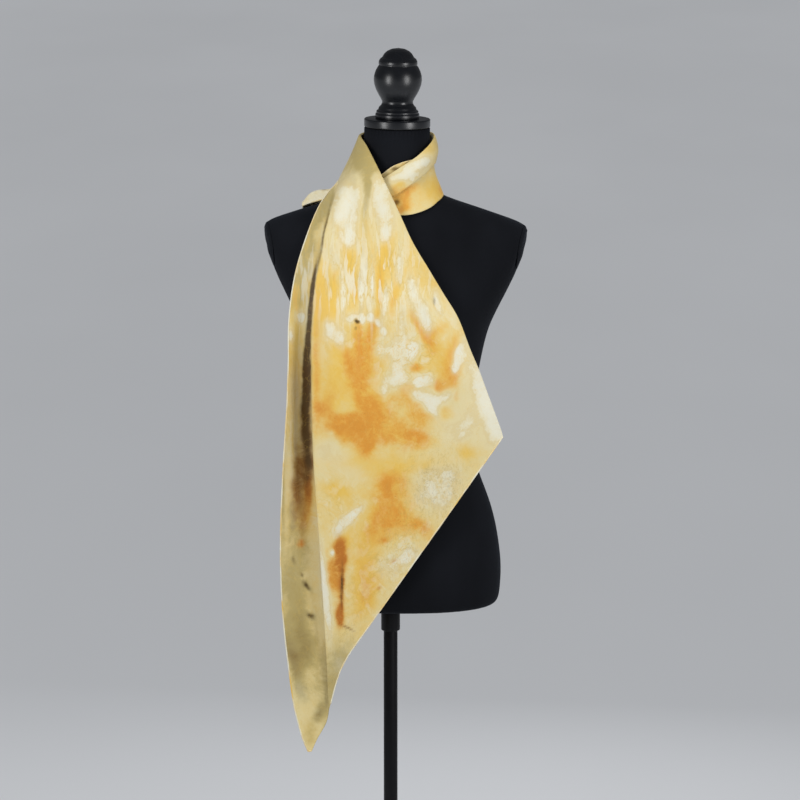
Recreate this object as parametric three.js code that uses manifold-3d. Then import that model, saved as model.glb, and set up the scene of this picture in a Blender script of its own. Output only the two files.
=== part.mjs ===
// Silk square scarf wound once round the neck of a dress form, which stands on a pole and a round base.
// Millimetres, +Z up. The front faces -Y, and +X is to the right as seen from the front.
// The origin is on the floor, on the axis of the pole.
// A turn is an angle round the neck: 0 at the front, 90 at the right, 180 at the back.

import * as THREE from "three";
import { mergeVertices } from "three/addons/utils/BufferGeometryUtils.js";
import Module from "manifold-3d";

const wasm = await Module();
wasm.setup();

// Driving sizes of the stand
const BASE_RADIUS = 165;
const BASE_RIM_HEIGHT = 7;
const BOSS_RADIUS = 19;
const BOSS_HEIGHT = 34;
const POLE_RADIUS = 10.5;
const SOCKET_RADIUS = 14.3;
const SOCKET_HEIGHT = 45;
const FIT_GAP = 0.3;

// Driving sizes of the dress form
const FORM_BOTTOM = 793.5;
const NECK_TOP = 1514.6;
const FORM_LEAN = THREE.MathUtils.degToRad(0.8);
const CAP_RADIUS = 49;
const CAP_HEIGHT = 12;
const FINIAL_HEIGHT = 104;
const ARM_PLATE_THICKNESS = 5;
const ARM_PLATE_X = 187.5;
const ARM_PLATE_Z = 1340;
const ARM_PLATE_TUCK = THREE.MathUtils.degToRad(7.5);
const ARM_PLATE_FACING = THREE.MathUtils.degToRad(9);
const ARM_SLAB = 200;
const ARM_STUMP = 80;

// Driving sizes of the scarf
const CLOTH = 1.5;
const JOIN_TURN = 235;

// Horizontal sections of the form in its own upright frame, from the hip to the neck.
// half is the half width, front and back the depths, and power the squareness of the oval.
const formSections = [
  { z: 793.5, half: 150, front: 86, back: 94, power: 2.2 },
  { z: 796.5, half: 158, front: 94, back: 102, power: 2.2 },
  { z: 803.5, half: 163, front: 99, back: 107, power: 2.2 },
  { z: 819, half: 165.5, front: 102, back: 111, power: 2.2 },
  { z: 850, half: 166.5, front: 103, back: 113, power: 2.2 },
  { z: 880, half: 163.5, front: 103, back: 112, power: 2.2 },
  { z: 912, half: 158, front: 100, back: 107, power: 2.2 },
  { z: 940, half: 151, front: 95, back: 100, power: 2.2 },
  { z: 968, half: 141, front: 89, back: 92, power: 2.2 },
  { z: 995, half: 130, front: 83, back: 84, power: 2.2 },
  { z: 1030, half: 121, front: 78, back: 78, power: 2.2 },
  { z: 1072, half: 118.5, front: 77, back: 76, power: 2.2 },
  { z: 1115, half: 121.5, front: 84, back: 79, power: 2.2 },
  { z: 1158, half: 128.5, front: 97, back: 84, power: 2.2 },
  { z: 1190, half: 134.5, front: 107, back: 88, power: 2.2 },
  { z: 1221, half: 142.5, front: 112, back: 91, power: 2.2 },
  { z: 1254, half: 158, front: 112, back: 94, power: 2.25 },
  { z: 1280, half: 171, front: 106, back: 96, power: 2.3 },
  { z: 1310, half: 184, front: 95, back: 97, power: 2.35 },
  { z: 1340, half: 195, front: 84, back: 93, power: 2.4 },
  { z: 1358, half: 197, front: 76, back: 88, power: 2.35 },
  { z: 1366, half: 195, front: 72, back: 84, power: 2.25 },
  { z: 1372, half: 190, front: 69.5, back: 81, power: 2.15 },
  { z: 1377, half: 178, front: 67, back: 78, power: 2.05 },
  { z: 1385, half: 154, front: 63, back: 73, power: 1.95 },
  { z: 1394, half: 127, front: 59, back: 69, power: 1.9 },
  { z: 1402, half: 101, front: 56, back: 65, power: 1.9 },
  { z: 1409, half: 79, front: 53.5, back: 61, power: 1.95 },
  { z: 1417, half: 62.5, front: 51.5, back: 57, power: 2 },
  { z: 1428, half: 54.5, front: 50.5, back: 53.5, power: 2 },
  { z: 1445, half: 50.5, front: 49.5, back: 51, power: 2 },
  { z: 1475, half: 49, front: 49, back: 49, power: 2 },
  { z: 1514.6, half: 49, front: 49, back: 49, power: 2 },
];

// The two soft mounds of the bust, each side of the middle.
const BUST_X = 66;
const BUST_Z = 1222;
const BUST_RISE = 19;
const BUST_HALF_WIDTH = 42;
const BUST_HALF_HEIGHT = 46;

// Turned profile of the finial, as radius at a height above the cap.
const finialProfile = [
  { height: 0, radius: 32.4 },
  { height: 5.2, radius: 32.8 },
  { height: 7.3, radius: 32.2 },
  { height: 8, radius: 31 },
  { height: 10.1, radius: 31.4 },
  { height: 11.9, radius: 30.2 },
  { height: 12.5, radius: 28.6 },
  { height: 16.2, radius: 27.6 },
  { height: 19.5, radius: 24.4 },
  { height: 22.3, radius: 23 },
  { height: 25.4, radius: 23 },
  { height: 29.8, radius: 25.2 },
  { height: 35.6, radius: 28.6 },
  { height: 42.3, radius: 32 },
  { height: 49.7, radius: 34.7 },
  { height: 57, radius: 35.7 },
  { height: 63.5, radius: 35.2 },
  { height: 70, radius: 33.2 },
  { height: 75.5, radius: 30.4 },
  { height: 78.7, radius: 28.2 },
  { height: 80.7, radius: 28.8 },
  { height: 84.4, radius: 28.6 },
  { height: 88.1, radius: 26.6 },
  { height: 90.3, radius: 23.6 },
  { height: 92.1, radius: 22.6 },
  { height: 95.8, radius: 20.4 },
  { height: 99.4, radius: 16.4 },
  { height: 102.5, radius: 10 },
];

// Sections of the front panel, from the join behind the neck down to the lower hem.
// ridge is its left fold, edge its right fold, and bulge how far it stands forward between them.
const panelSections = [
  { ridgeX: -39.7, ridgeY: 33.6, ridgeZ: 1459, edgeX: -35.4, edgeY: 30.9, edgeZ: 1503.5, bulge: 0 },
  { ridgeX: -60, ridgeY: 15, ridgeZ: 1452, edgeX: -45, edgeY: 11, edgeZ: 1503, bulge: 0.5 },
  { ridgeX: -73.5, ridgeY: -9, ridgeZ: 1443, edgeX: -45.5, edgeY: -9, edgeZ: 1501.5, bulge: 2 },
  { ridgeX: -79, ridgeY: -36, ridgeZ: 1431, edgeX: -34.5, edgeY: -38, edgeZ: 1489, bulge: 4 },
  { ridgeX: -82.5, ridgeY: -57, ridgeZ: 1419, edgeX: -20, edgeY: -59, edgeZ: 1465, bulge: 5 },
  { ridgeX: -90, ridgeY: -73, ridgeZ: 1393, edgeX: -2, edgeY: -71, edgeZ: 1429.5, bulge: 5 },
  { ridgeX: -100, ridgeY: -89, ridgeZ: 1358.5, edgeX: 15.8, edgeY: -76, edgeZ: 1391.5, bulge: 5 },
  { ridgeX: -108.6, ridgeY: -103, ridgeZ: 1319, edgeX: 33.3, edgeY: -86, edgeZ: 1354.5, bulge: 6 },
  { ridgeX: -114.4, ridgeY: -114, ridgeZ: 1274, edgeX: 58.2, edgeY: -101, edgeZ: 1314.5, bulge: 9 },
  { ridgeX: -116, ridgeY: -121, ridgeZ: 1231, edgeX: 78.7, edgeY: -112, edgeZ: 1282, bulge: 15 },
  { ridgeX: -116.7, ridgeY: -125, ridgeZ: 1170, edgeX: 99.2, edgeY: -116, edgeZ: 1248.5, bulge: 16 },
  { ridgeX: -115.8, ridgeY: -126, ridgeZ: 1100, edgeX: 118.3, edgeY: -116, edgeZ: 1199, bulge: 15 },
  { ridgeX: -113.6, ridgeY: -126, ridgeZ: 1028, edgeX: 131.6, edgeY: -115, edgeZ: 1167, bulge: 13 },
  { ridgeX: -108.4, ridgeY: -125, ridgeZ: 950, edgeX: 142, edgeY: -113, edgeZ: 1138, bulge: 11 },
  { ridgeX: -103.8, ridgeY: -124, ridgeZ: 880, edgeX: 151.4, edgeY: -112, edgeZ: 1112, bulge: 9 },
  { ridgeX: -99.8, ridgeY: -123, ridgeZ: 808, edgeX: 158.6, edgeY: -110, edgeZ: 1092, bulge: 7 },
  { ridgeX: -95.6, ridgeY: -122, ridgeZ: 733, edgeX: 163.4, edgeY: -108, edgeZ: 1078, bulge: 5 },
  { ridgeX: -91.6, ridgeY: -121, ridgeZ: 656, edgeX: 166, edgeY: -107, edgeZ: 1067, bulge: 3 },
];

// The lower hem runs straight from the corner to this bend, and then drops to the foot of the ridge.
const HEM_BEND_SHARE = 0.05;
const HEM_BEND_RISE = 42;
const HEM_BEND_WIDTH = 0.045;
const HEM_FADE_POWER = 5;

// The strip turned back behind the right fold, as shares of the panel's width and length.
const RETURN_SHARE = 0.2;
const RETURN_START = 0.3;
const RETURN_END = 0.985;
const RETURN_SLANT = 0.16;
const RETURN_SETBACK = 3.6;

// Soft folds of the panel. at and width are shares of its width, start and end shares of its length.
const panelFolds = [
  { at: 0.16, width: 0.075, rise: 3.5, start: 0.16, end: 0.92 },
  { at: 0.34, width: 0.08, rise: -2.5, start: 0.2, end: 0.62 },
  { at: 0.52, width: 0.07, rise: 3.5, start: 0.12, end: 0.7 },
  { at: 0.7, width: 0.07, rise: -2.5, start: 0.24, end: 0.56 },
  { at: 0.85, width: 0.06, rise: 3.5, start: 0.3, end: 0.86 },
];

// Sections of the side fold, from the join behind the neck down to the tip of the scarf.
// hem is its left hem, inner its side hidden by the panel, and valley how far it sinks back between them.
const sideSections = [
  { hemX: -46.7, hemY: 38.1, hemZ: 1415, innerX: -36.4, innerY: 31.2, innerZ: 1460, valley: 0 },
  { hemX: -68, hemY: 18, hemZ: 1430, innerX: -54, innerY: 13, innerZ: 1455, valley: 0 },
  { hemX: -77, hemY: -7, hemZ: 1435, innerX: -63, innerY: -7, innerZ: 1449, valley: 0 },
  { hemX: -81, hemY: -27, hemZ: 1431.5, innerX: -66, innerY: -30, innerZ: 1437, valley: 0 },
  { hemX: -92, hemY: -37, hemZ: 1421, innerX: -68, innerY: -45, innerZ: 1418, valley: 0 },
  { hemX: -105, hemY: -46, hemZ: 1402, innerX: -73, innerY: -57, innerZ: 1396, valley: 0 },
  { hemX: -125.7, hemY: -70, hemZ: 1353, innerX: -80, innerY: -84, innerZ: 1350, valley: -3 },
  { hemX: -141, hemY: -86, hemZ: 1300, innerX: -90, innerY: -101, innerZ: 1300, valley: 0 },
  { hemX: -149, hemY: -98, hemZ: 1240, innerX: -96, innerY: -111, innerZ: 1240, valley: 7 },
  { hemX: -150, hemY: -105, hemZ: 1180, innerX: -96, innerY: -109, innerZ: 1180, valley: 14 },
  { hemX: -152.5, hemY: -109, hemZ: 1110, innerX: -94, innerY: -104, innerZ: 1110, valley: 17 },
  { hemX: -157.8, hemY: -112, hemZ: 1030, innerX: -90, innerY: -105, innerZ: 1030, valley: 16 },
  { hemX: -161.6, hemY: -114, hemZ: 950, innerX: -84, innerY: -107, innerZ: 950, valley: 13 },
  { hemX: -162.6, hemY: -116, hemZ: 870, innerX: -78, innerY: -110, innerZ: 870, valley: 10 },
  { hemX: -159, hemY: -117, hemZ: 790, innerX: -77, innerY: -113, innerZ: 790, valley: 7 },
  { hemX: -151.6, hemY: -118, hemZ: 720, innerX: -84, innerY: -116, innerZ: 720, valley: 4 },
  { hemX: -144.4, hemY: -119, hemZ: 665, innerX: -90.6, innerY: -117, innerZ: 665, valley: 2 },
  { hemX: -137.5, hemY: -119, hemZ: 633, innerX: -95.6, innerY: -118, innerZ: 636, valley: 1 },
  { hemX: -130, hemY: -120, hemZ: 608, innerX: -109.5, innerY: -119, innerZ: 610, valley: 0 },
  { hemX: -123, hemY: -120, hemZ: 591, innerX: -117.5, innerY: -120, innerZ: 592, valley: 0 },
];

// Sections of the lower band round the neck, with its radius and height at top, middle and foot.
const bandSections = [
  { turn: -28, topR: 57, topZ: 1433, midR: 59, midZ: 1416, lowR: 66, lowZ: 1397 },
  { turn: 0, topR: 57, topZ: 1440, midR: 59.5, midZ: 1416, lowR: 66, lowZ: 1391.5 },
  { turn: 16, topR: 57, topZ: 1446, midR: 59.5, midZ: 1420, lowR: 67.6, lowZ: 1391.5 },
  { turn: 30, topR: 56.5, topZ: 1456, midR: 59, midZ: 1426, lowR: 70.4, lowZ: 1395 },
  { turn: 46, topR: 56, topZ: 1464.5, midR: 58.5, midZ: 1434, lowR: 72.5, lowZ: 1401.5 },
  { turn: 60, topR: 55, topZ: 1469, midR: 58, midZ: 1441, lowR: 72.3, lowZ: 1408.5 },
  { turn: 90, topR: 53.5, topZ: 1471, midR: 57.5, midZ: 1446, lowR: 70, lowZ: 1414 },
  { turn: 135, topR: 54, topZ: 1469, midR: 59, midZ: 1444, lowR: 70, lowZ: 1415 },
  { turn: 180, topR: 54, topZ: 1467, midR: 60, midZ: 1441, lowR: 67, lowZ: 1415 },
  { turn: JOIN_TURN, topR: 54.5, topZ: 1463, midR: 58.5, midZ: 1440, lowR: 66, lowZ: 1415 },
];

// Sections of the turned-over roll above the band: its fold at the top, its belly and its free edge.
const rollSections = [
  { turn: -22, topR: 58.5, topZ: 1440.5, midR: 63.5, midZ: 1428, lowR: 64, lowZ: 1413 },
  { turn: 0, topR: 58.5, topZ: 1455.5, midR: 63, midZ: 1441, lowR: 62, lowZ: 1421 },
  { turn: 16, topR: 58.5, topZ: 1465.5, midR: 63, midZ: 1451, lowR: 61.5, lowZ: 1432 },
  { turn: 30, topR: 58.5, topZ: 1473.5, midR: 63, midZ: 1459.5, lowR: 61.3, lowZ: 1442 },
  { turn: 46, topR: 58, topZ: 1483, midR: 62.5, midZ: 1468, lowR: 60.5, lowZ: 1450.5 },
  { turn: 60, topR: 57.5, topZ: 1490, midR: 62, midZ: 1475, lowR: 59.5, lowZ: 1458 },
  { turn: 75, topR: 57, topZ: 1496, midR: 61.5, midZ: 1479.5, lowR: 58.5, lowZ: 1461 },
  { turn: 90, topR: 56, topZ: 1500.5, midR: 61.5, midZ: 1481, lowR: 58, lowZ: 1461 },
  { turn: 135, topR: 55.5, topZ: 1503, midR: 60.5, midZ: 1482, lowR: 58.5, lowZ: 1460 },
  { turn: 180, topR: 55, topZ: 1503.5, midR: 60, midZ: 1481.5, lowR: 58.5, lowZ: 1459 },
  { turn: JOIN_TURN, topR: 54.5, topZ: 1503.5, midR: 58.5, midZ: 1480.5, lowR: 59, lowZ: 1459 },
];

// How the roll turns in over its top fold, as steps towards the neck and down from the fold.
const rollTuck = [
  { inset: 1.4, drop: -1.6 },
  { inset: 3.2, drop: 2 },
  { inset: 3.4, drop: 10 },
];

// The inner turn that stands up between the neck and the roll.
const innerSections = [
  { turn: -30, radius: 53.1, topZ: 1445 },
  { turn: -24, radius: 53.1, topZ: 1448.5 },
  { turn: -8, radius: 53.1, topZ: 1460 },
  { turn: 6, radius: 53.1, topZ: 1466 },
  { turn: 18, radius: 53, topZ: 1469 },
  { turn: 30, radius: 52.8, topZ: 1470.5 },
  { turn: 48, radius: 52.5, topZ: 1471 },
];
const INNER_HEIGHT = 15;
const INNER_CLOTH = 1.1;

// Sections of the end thrown back over the shoulder, from the neck outwards.
// Each crosses the shoulder from its front hem, over the top and down the back to the lower hem.
const tailSections = [
  { x: -58, frontY: -8, frontZ: 1421, topY: 10, topZ: 1424, backY: 60, backZ: 1411, hemY: 88, hemZ: 1376 },
  { x: -66, frontY: -4, frontZ: 1416, topY: 14, topZ: 1421, backY: 63, backZ: 1407, hemY: 92, hemZ: 1358 },
  { x: -80, frontY: 0, frontZ: 1411, topY: 16, topZ: 1420.5, backY: 65, backZ: 1399, hemY: 95, hemZ: 1330 },
  { x: -95, frontY: 3, frontZ: 1406.5, topY: 19, topZ: 1418, backY: 69, backZ: 1390, hemY: 97, hemZ: 1306 },
  { x: -109, frontY: 5, frontZ: 1403, topY: 21, topZ: 1416.5, backY: 71, backZ: 1385, hemY: 96, hemZ: 1303 },
  { x: -121, frontY: 7, frontZ: 1399.5, topY: 21, topZ: 1411, backY: 69, backZ: 1379, hemY: 91, hemZ: 1326 },
  { x: -131, frontY: 10, frontZ: 1395, topY: 19, topZ: 1399, backY: 60, backZ: 1376, hemY: 82, hemZ: 1352 },
];

// Mesh fineness
const FORM_SIDES = 48;
const FORM_RING_STEP = 21;
const SHOULDER_RING_STEP = 7;
const SHOULDER_START = 1340;
const SHOULDER_END = 1450;
const LATHE_SIDES = 32;
const grids = {
  frontPanel: { across: 22, down: 36 },
  edgeReturn: { across: 5, down: 24 },
  sideFold: { across: 7, down: 36 },
  neckBand: { across: 6, down: 40 },
  neckRoll: { across: 12, down: 40 },
  innerTurn: { across: 3, down: 14 },
  shoulderTail: { across: 9, down: 16 },
};

// Colours, roughness and metalness
const looks = {
  silk: { color: 0xe3c368, roughness: 0.5, metalness: 0 },
  velvet: { color: 0x15171c, roughness: 0.95, metalness: 0 },
  lacquer: { color: 0x16181d, roughness: 0.3, metalness: 0 },
  steel: { color: 0x17181b, roughness: 0.42, metalness: 0.3 },
};

// A smooth value of one column of a table, between its rows, by another column.
function column(rows, key, name, value) {
  const last = rows.length - 1;
  const at = THREE.MathUtils.clamp(value, rows[0][key], rows[last][key]);
  let i = 0;
  while (i < last - 1 && at > rows[i + 1][key]) i += 1;
  const slope = (a, b) => (rows[b][name] - rows[a][name]) / (rows[b][key] - rows[a][key]);
  const step = rows[i + 1][key] - rows[i][key];
  const share = (at - rows[i][key]) / step;
  const before = slope(Math.max(i - 1, 0), i + 1) * step;
  const after = slope(i, Math.min(i + 2, last)) * step;
  const s2 = share * share;
  const s3 = s2 * share;
  return (
    (2 * s3 - 3 * s2 + 1) * rows[i][name] +
    (s3 - 2 * s2 + share) * before +
    (3 * s2 - 2 * s3) * rows[i + 1][name] +
    (s3 - s2) * after
  );
}

// A smooth line through three columns of a table, one point for each row.
function lineThrough(rows, x, y, z) {
  const points = rows.map((row) => new THREE.Vector3(row[x], row[y], row[z]));
  return new THREE.CatmullRomCurve3(points, false, "centripetal");
}

// The point at a turn, a radius and a height round the leaning axis of the neck.
function roundNeck(turn, radius, z) {
  const angle = THREE.MathUtils.degToRad(turn);
  const centre = (z - FORM_BOTTOM) * Math.tan(FORM_LEAN);
  return new THREE.Vector3(centre + radius * Math.sin(angle), -radius * Math.cos(angle), z);
}

function quad(faces, a, b, c, d) {
  faces.push(a, b, c, a, c, d);
}

// A closed geometry from points and faces, turned so that its faces point out.
function closedGeometry(points, faces) {
  let volume = 0;
  for (let i = 0; i < faces.length; i += 3) {
    const [a, b, c] = [points[faces[i]], points[faces[i + 1]], points[faces[i + 2]]];
    volume += a.dot(b.clone().cross(c));
  }
  if (volume < 0) faces.reverse();
  const geometry = new THREE.BufferGeometry().setFromPoints(points);
  geometry.setIndex(faces);
  return geometry;
}

// A cloth wall: the surface pointAt(u, v), u and v from 0 to 1, given its thickness.
function wall(pointAt, { across, down }, thickness = CLOTH) {
  const middle = [];
  for (let j = 0; j <= down; j += 1) {
    for (let i = 0; i <= across; i += 1) middle.push(pointAt(i / across, j / down));
  }
  const index = (i, j) => j * (across + 1) + i;
  const step = (from, to) => middle[to].clone().sub(middle[from]);
  const points = [];
  for (const side of [0.5, -0.5]) {
    for (let j = 0; j <= down; j += 1) {
      for (let i = 0; i <= across; i += 1) {
        const along = step(index(Math.max(i - 1, 0), j), index(Math.min(i + 1, across), j));
        const below = step(index(i, Math.max(j - 1, 0)), index(i, Math.min(j + 1, down)));
        const normal = along.cross(below).normalize();
        points.push(middle[index(i, j)].clone().addScaledVector(normal, side * thickness));
      }
    }
  }
  const faces = [];
  const back = (across + 1) * (down + 1);
  for (let j = 0; j < down; j += 1) {
    for (let i = 0; i < across; i += 1) {
      const [a, b, c, d] = [index(i, j), index(i + 1, j), index(i + 1, j + 1), index(i, j + 1)];
      quad(faces, a, b, c, d);
      quad(faces, back + d, back + c, back + b, back + a);
    }
  }
  const rim = [];
  for (let i = 0; i < across; i += 1) rim.push(index(i, 0));
  for (let j = 0; j < down; j += 1) rim.push(index(across, j));
  for (let i = across; i > 0; i -= 1) rim.push(index(i, down));
  for (let j = down; j > 0; j -= 1) rim.push(index(0, j));
  rim.forEach((a, n) => {
    const b = rim[(n + 1) % rim.length];
    quad(faces, b, a, back + a, back + b);
  });
  return closedGeometry(points, faces);
}

// A solid through rings of points, closed by a flat face at each end.
function loft(rings) {
  const sides = rings[0].length;
  const points = rings.flat();
  const faces = [];
  for (let j = 0; j < rings.length - 1; j += 1) {
    for (let i = 0; i < sides; i += 1) {
      const next = (i + 1) % sides;
      const [a, b] = [j * sides + i, j * sides + next];
      quad(faces, a, b, b + sides, a + sides);
    }
  }
  for (const [ring, flip] of [[0, true], [rings.length - 1, false]]) {
    const centre = rings[ring].reduce((sum, p) => sum.add(p), new THREE.Vector3());
    points.push(centre.divideScalar(sides));
    const hub = points.length - 1;
    for (let i = 0; i < sides; i += 1) {
      const [a, b] = [ring * sides + i, ring * sides + ((i + 1) % sides)];
      faces.push(hub, flip ? b : a, flip ? a : b);
    }
  }
  return closedGeometry(points, faces);
}

function solid(geometry) {
  const bare = geometry.clone();
  bare.deleteAttribute("normal");
  bare.deleteAttribute("uv");
  const merged = mergeVertices(bare, 1e-4);
  return new wasm.Manifold(
    new wasm.Mesh({
      numProp: 3,
      vertProperties: merged.attributes.position.array,
      triVerts: new Uint32Array(merged.index.array),
    }),
  );
}

function geometryOf(manifold) {
  const mesh = manifold.getMesh();
  const geometry = new THREE.BufferGeometry();
  geometry.setAttribute("position", new THREE.BufferAttribute(mesh.vertProperties, 3));
  geometry.setIndex(new THREE.BufferAttribute(mesh.triVerts, 1));
  return geometry;
}

// A turned solid from a profile of [radius, height] pairs.
function turned(profile) {
  const points = profile.map(([radius, height]) => new THREE.Vector2(radius, height));
  return new THREE.LatheGeometry(points, LATHE_SIDES).rotateX(Math.PI / 2);
}

function piece(name, geometry, look) {
  const mesh = new THREE.Mesh(geometry, new THREE.MeshStandardMaterial(looks[look]));
  mesh.name = name;
  return mesh;
}

function bustRise(x, z) {
  const across = (Math.abs(x) - BUST_X) / BUST_HALF_WIDTH;
  const up = (z - BUST_Z) / BUST_HALF_HEIGHT;
  return BUST_RISE * Math.exp(-across * across - up * up);
}

function formRing(z) {
  const at = (name) => column(formSections, "z", name, z);
  const [half, front, back, power] = ["half", "front", "back", "power"].map(at);
  const ring = [];
  for (let i = 0; i < FORM_SIDES; i += 1) {
    const angle = (i / FORM_SIDES) * 2 * Math.PI;
    const [s, c] = [Math.sin(angle), Math.cos(angle)];
    const x = half * Math.sign(s) * Math.abs(s) ** (2 / power);
    const reach = Math.abs(c) ** (2 / power);
    const y = c > 0 ? -reach * (front + bustRise(x, z)) : reach * back;
    ring.push(new THREE.Vector3(x, y, z));
  }
  return ring;
}

function formHeights() {
  const heights = [FORM_BOTTOM, 795, 797.5, 801.5, 807.5];
  for (let z = 818; z < SHOULDER_START; z += FORM_RING_STEP) heights.push(z);
  for (let z = SHOULDER_START; z < SHOULDER_END; z += SHOULDER_RING_STEP) heights.push(z);
  heights.push(1465, NECK_TOP);
  return heights;
}

// A slab whose inner face is the plane where an arm is cut off, on the side given by sign.
function armSlab(sign, inset, thickness) {
  const box = new THREE.BoxGeometry(thickness, ARM_SLAB, ARM_SLAB);
  box.translate(inset + thickness / 2, 0, 0).rotateY(ARM_PLATE_TUCK).rotateZ(-ARM_PLATE_FACING);
  box.translate(ARM_PLATE_X, 0, ARM_PLATE_Z);
  if (sign > 0) return solid(box);
  return solid(box).mirror([1, 0, 0]);
}

function formPieces() {
  const whole = solid(loft(formHeights().map(formRing)));
  let body = whole;
  const plates = [];
  for (const [name, sign] of [["arm_plate_right", 1], ["arm_plate_left", -1]]) {
    body = body.subtract(armSlab(sign, 0, ARM_STUMP));
    const plate = whole.intersect(armSlab(sign, FIT_GAP, ARM_PLATE_THICKNESS));
    plates.push(piece(name, geometryOf(plate), "velvet"));
  }
  const cap = turned([
    [0, 0],
    [CAP_RADIUS - 0.8, 0],
    [CAP_RADIUS, 0.8],
    [CAP_RADIUS, CAP_HEIGHT - 1.2],
    [CAP_RADIUS - 1.2, CAP_HEIGHT],
    [0, CAP_HEIGHT],
  ]);
  cap.translate(0, 0, NECK_TOP + FIT_GAP);
  const profile = finialProfile.map(({ height, radius }) => [radius, height]);
  const finial = turned([[0, 0], ...profile, [0, FINIAL_HEIGHT]]);
  finial.translate(0, 0, NECK_TOP + CAP_HEIGHT + 2 * FIT_GAP);
  const pieces = [
    piece("form_body", geometryOf(body), "velvet"),
    ...plates,
    piece("neck_cap", cap, "lacquer"),
    piece("finial", finial, "lacquer"),
  ];
  for (const part of pieces) part.geometry.translate(0, 0, -FORM_BOTTOM);
  const group = new THREE.Group();
  group.add(...pieces);
  group.position.z = FORM_BOTTOM;
  group.rotation.y = FORM_LEAN;
  return group;
}

function standPieces() {
  const hole = POLE_RADIUS + FIT_GAP;
  const plateTop = BASE_RIM_HEIGHT + 4;
  const base = turned([
    [0, 0],
    [BASE_RADIUS, 0],
    [BASE_RADIUS, BASE_RIM_HEIGHT - 2],
    [BASE_RADIUS - 2, BASE_RIM_HEIGHT],
    [BOSS_RADIUS + 8, plateTop],
    [BOSS_RADIUS + 1.5, plateTop + 2.5],
    [BOSS_RADIUS, plateTop + 7],
    [BOSS_RADIUS, BOSS_HEIGHT - 2],
    [BOSS_RADIUS - 2, BOSS_HEIGHT],
    [hole, BOSS_HEIGHT],
    [hole, BASE_RIM_HEIGHT],
    [0, BASE_RIM_HEIGHT],
  ]);
  const poleFoot = BASE_RIM_HEIGHT + FIT_GAP;
  const poleTop = FORM_BOTTOM - FIT_GAP - POLE_RADIUS * Math.sin(FORM_LEAN);
  const pole = turned([[0, poleFoot], [POLE_RADIUS, poleFoot], [POLE_RADIUS, poleTop], [0, poleTop]]);
  const socketTop = FORM_BOTTOM - FIT_GAP - SOCKET_RADIUS * Math.sin(FORM_LEAN);
  const socketFoot = FORM_BOTTOM - SOCKET_HEIGHT;
  const socket = turned([
    [hole, socketFoot],
    [SOCKET_RADIUS - 1, socketFoot],
    [SOCKET_RADIUS, socketFoot + 1],
    [SOCKET_RADIUS, socketTop],
    [hole, socketTop],
    [hole, socketFoot],
  ]);
  return [
    piece("stand_base", base, "steel"),
    piece("stand_pole", pole, "steel"),
    piece("form_socket", socket, "steel"),
  ];
}

// How far the lower hem rises above a straight line from the ridge's foot to the corner.
function hemRise(u) {
  const reached = 0.5 + 0.5 * Math.tanh((u - HEM_BEND_SHARE / 2) / HEM_BEND_WIDTH);
  const start = 0.5 + 0.5 * Math.tanh(-HEM_BEND_SHARE / 2 / HEM_BEND_WIDTH);
  return (HEM_BEND_RISE * (reached - start) * (1 - u)) / (1 - start);
}

function foldRise(u, v) {
  let rise = 0;
  for (const fold of panelFolds) {
    const across = Math.exp(-(((u - fold.at) / fold.width) ** 2));
    const length = THREE.MathUtils.clamp((v - fold.start) / (fold.end - fold.start), 0, 1);
    rise += fold.rise * across * Math.sin(Math.PI * length) ** 2;
  }
  return rise;
}

const panelRidge = lineThrough(panelSections, "ridgeX", "ridgeY", "ridgeZ");
const panelEdge = lineThrough(panelSections, "edgeX", "edgeY", "edgeZ");
const panelStations = panelSections.map((row, station) => ({ ...row, station }));

// A point of the front panel: u runs from its ridge to its right fold, v from the neck to the hem.
function panelPoint(u, v) {
  const point = panelRidge.getPoint(v).lerp(panelEdge.getPoint(v), u);
  const bulge = column(panelStations, "station", "bulge", v * (panelStations.length - 1));
  point.y -= bulge * (1 - (2 * u - 1) ** 4) + foldRise(u, v);
  point.z += hemRise(u) * v ** HEM_FADE_POWER;
  return point;
}

// The strip turned back behind the panel at its right fold, made from the panel's points.
function edgeReturn() {
  return wall((u, v) => {
    const foot = RETURN_END - RETURN_SLANT * u;
    const point = panelPoint(1 - RETURN_SHARE * u, RETURN_START + (foot - RETURN_START) * v);
    point.y += RETURN_SETBACK;
    return point;
  }, grids.edgeReturn);
}

function sideFold() {
  const hem = lineThrough(sideSections, "hemX", "hemY", "hemZ");
  const inner = lineThrough(sideSections, "innerX", "innerY", "innerZ");
  const stations = sideSections.map((row, station) => ({ ...row, station }));
  return wall((u, v) => {
    const point = hem.getPoint(v).lerp(inner.getPoint(v), u);
    const valley = column(stations, "station", "valley", v * (stations.length - 1));
    point.y += valley * Math.sin(Math.PI * u);
    return point;
  }, grids.sideFold);
}

// A wall round the neck, through named radius and height columns and, at its top, the tucked-in points.
function neckWall(rows, tucked, grid) {
  const first = rows[0].turn;
  const last = rows[rows.length - 1].turn;
  return wall((u, v) => {
    const turn = first + (last - first) * v;
    const at = (name) => column(rows, "turn", name, turn);
    const outside = ["low", "mid", "top"].map((level) => roundNeck(turn, at(level + "R"), at(level + "Z")));
    const inside = tucked.map(({ inset, drop }) => roundNeck(turn, at("topR") - inset, at("topZ") - drop));
    return new THREE.CatmullRomCurve3([...outside, ...inside], false, "centripetal").getPoint(u);
  }, grid);
}

function innerTurn() {
  const first = innerSections[0].turn;
  const last = innerSections[innerSections.length - 1].turn;
  return wall(
    (u, v) => {
      const turn = first + (last - first) * v;
      const at = (name) => column(innerSections, "turn", name, turn);
      return roundNeck(turn, at("radius"), at("topZ") - u * INNER_HEIGHT);
    },
    grids.innerTurn,
    INNER_CLOTH,
  );
}

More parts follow.
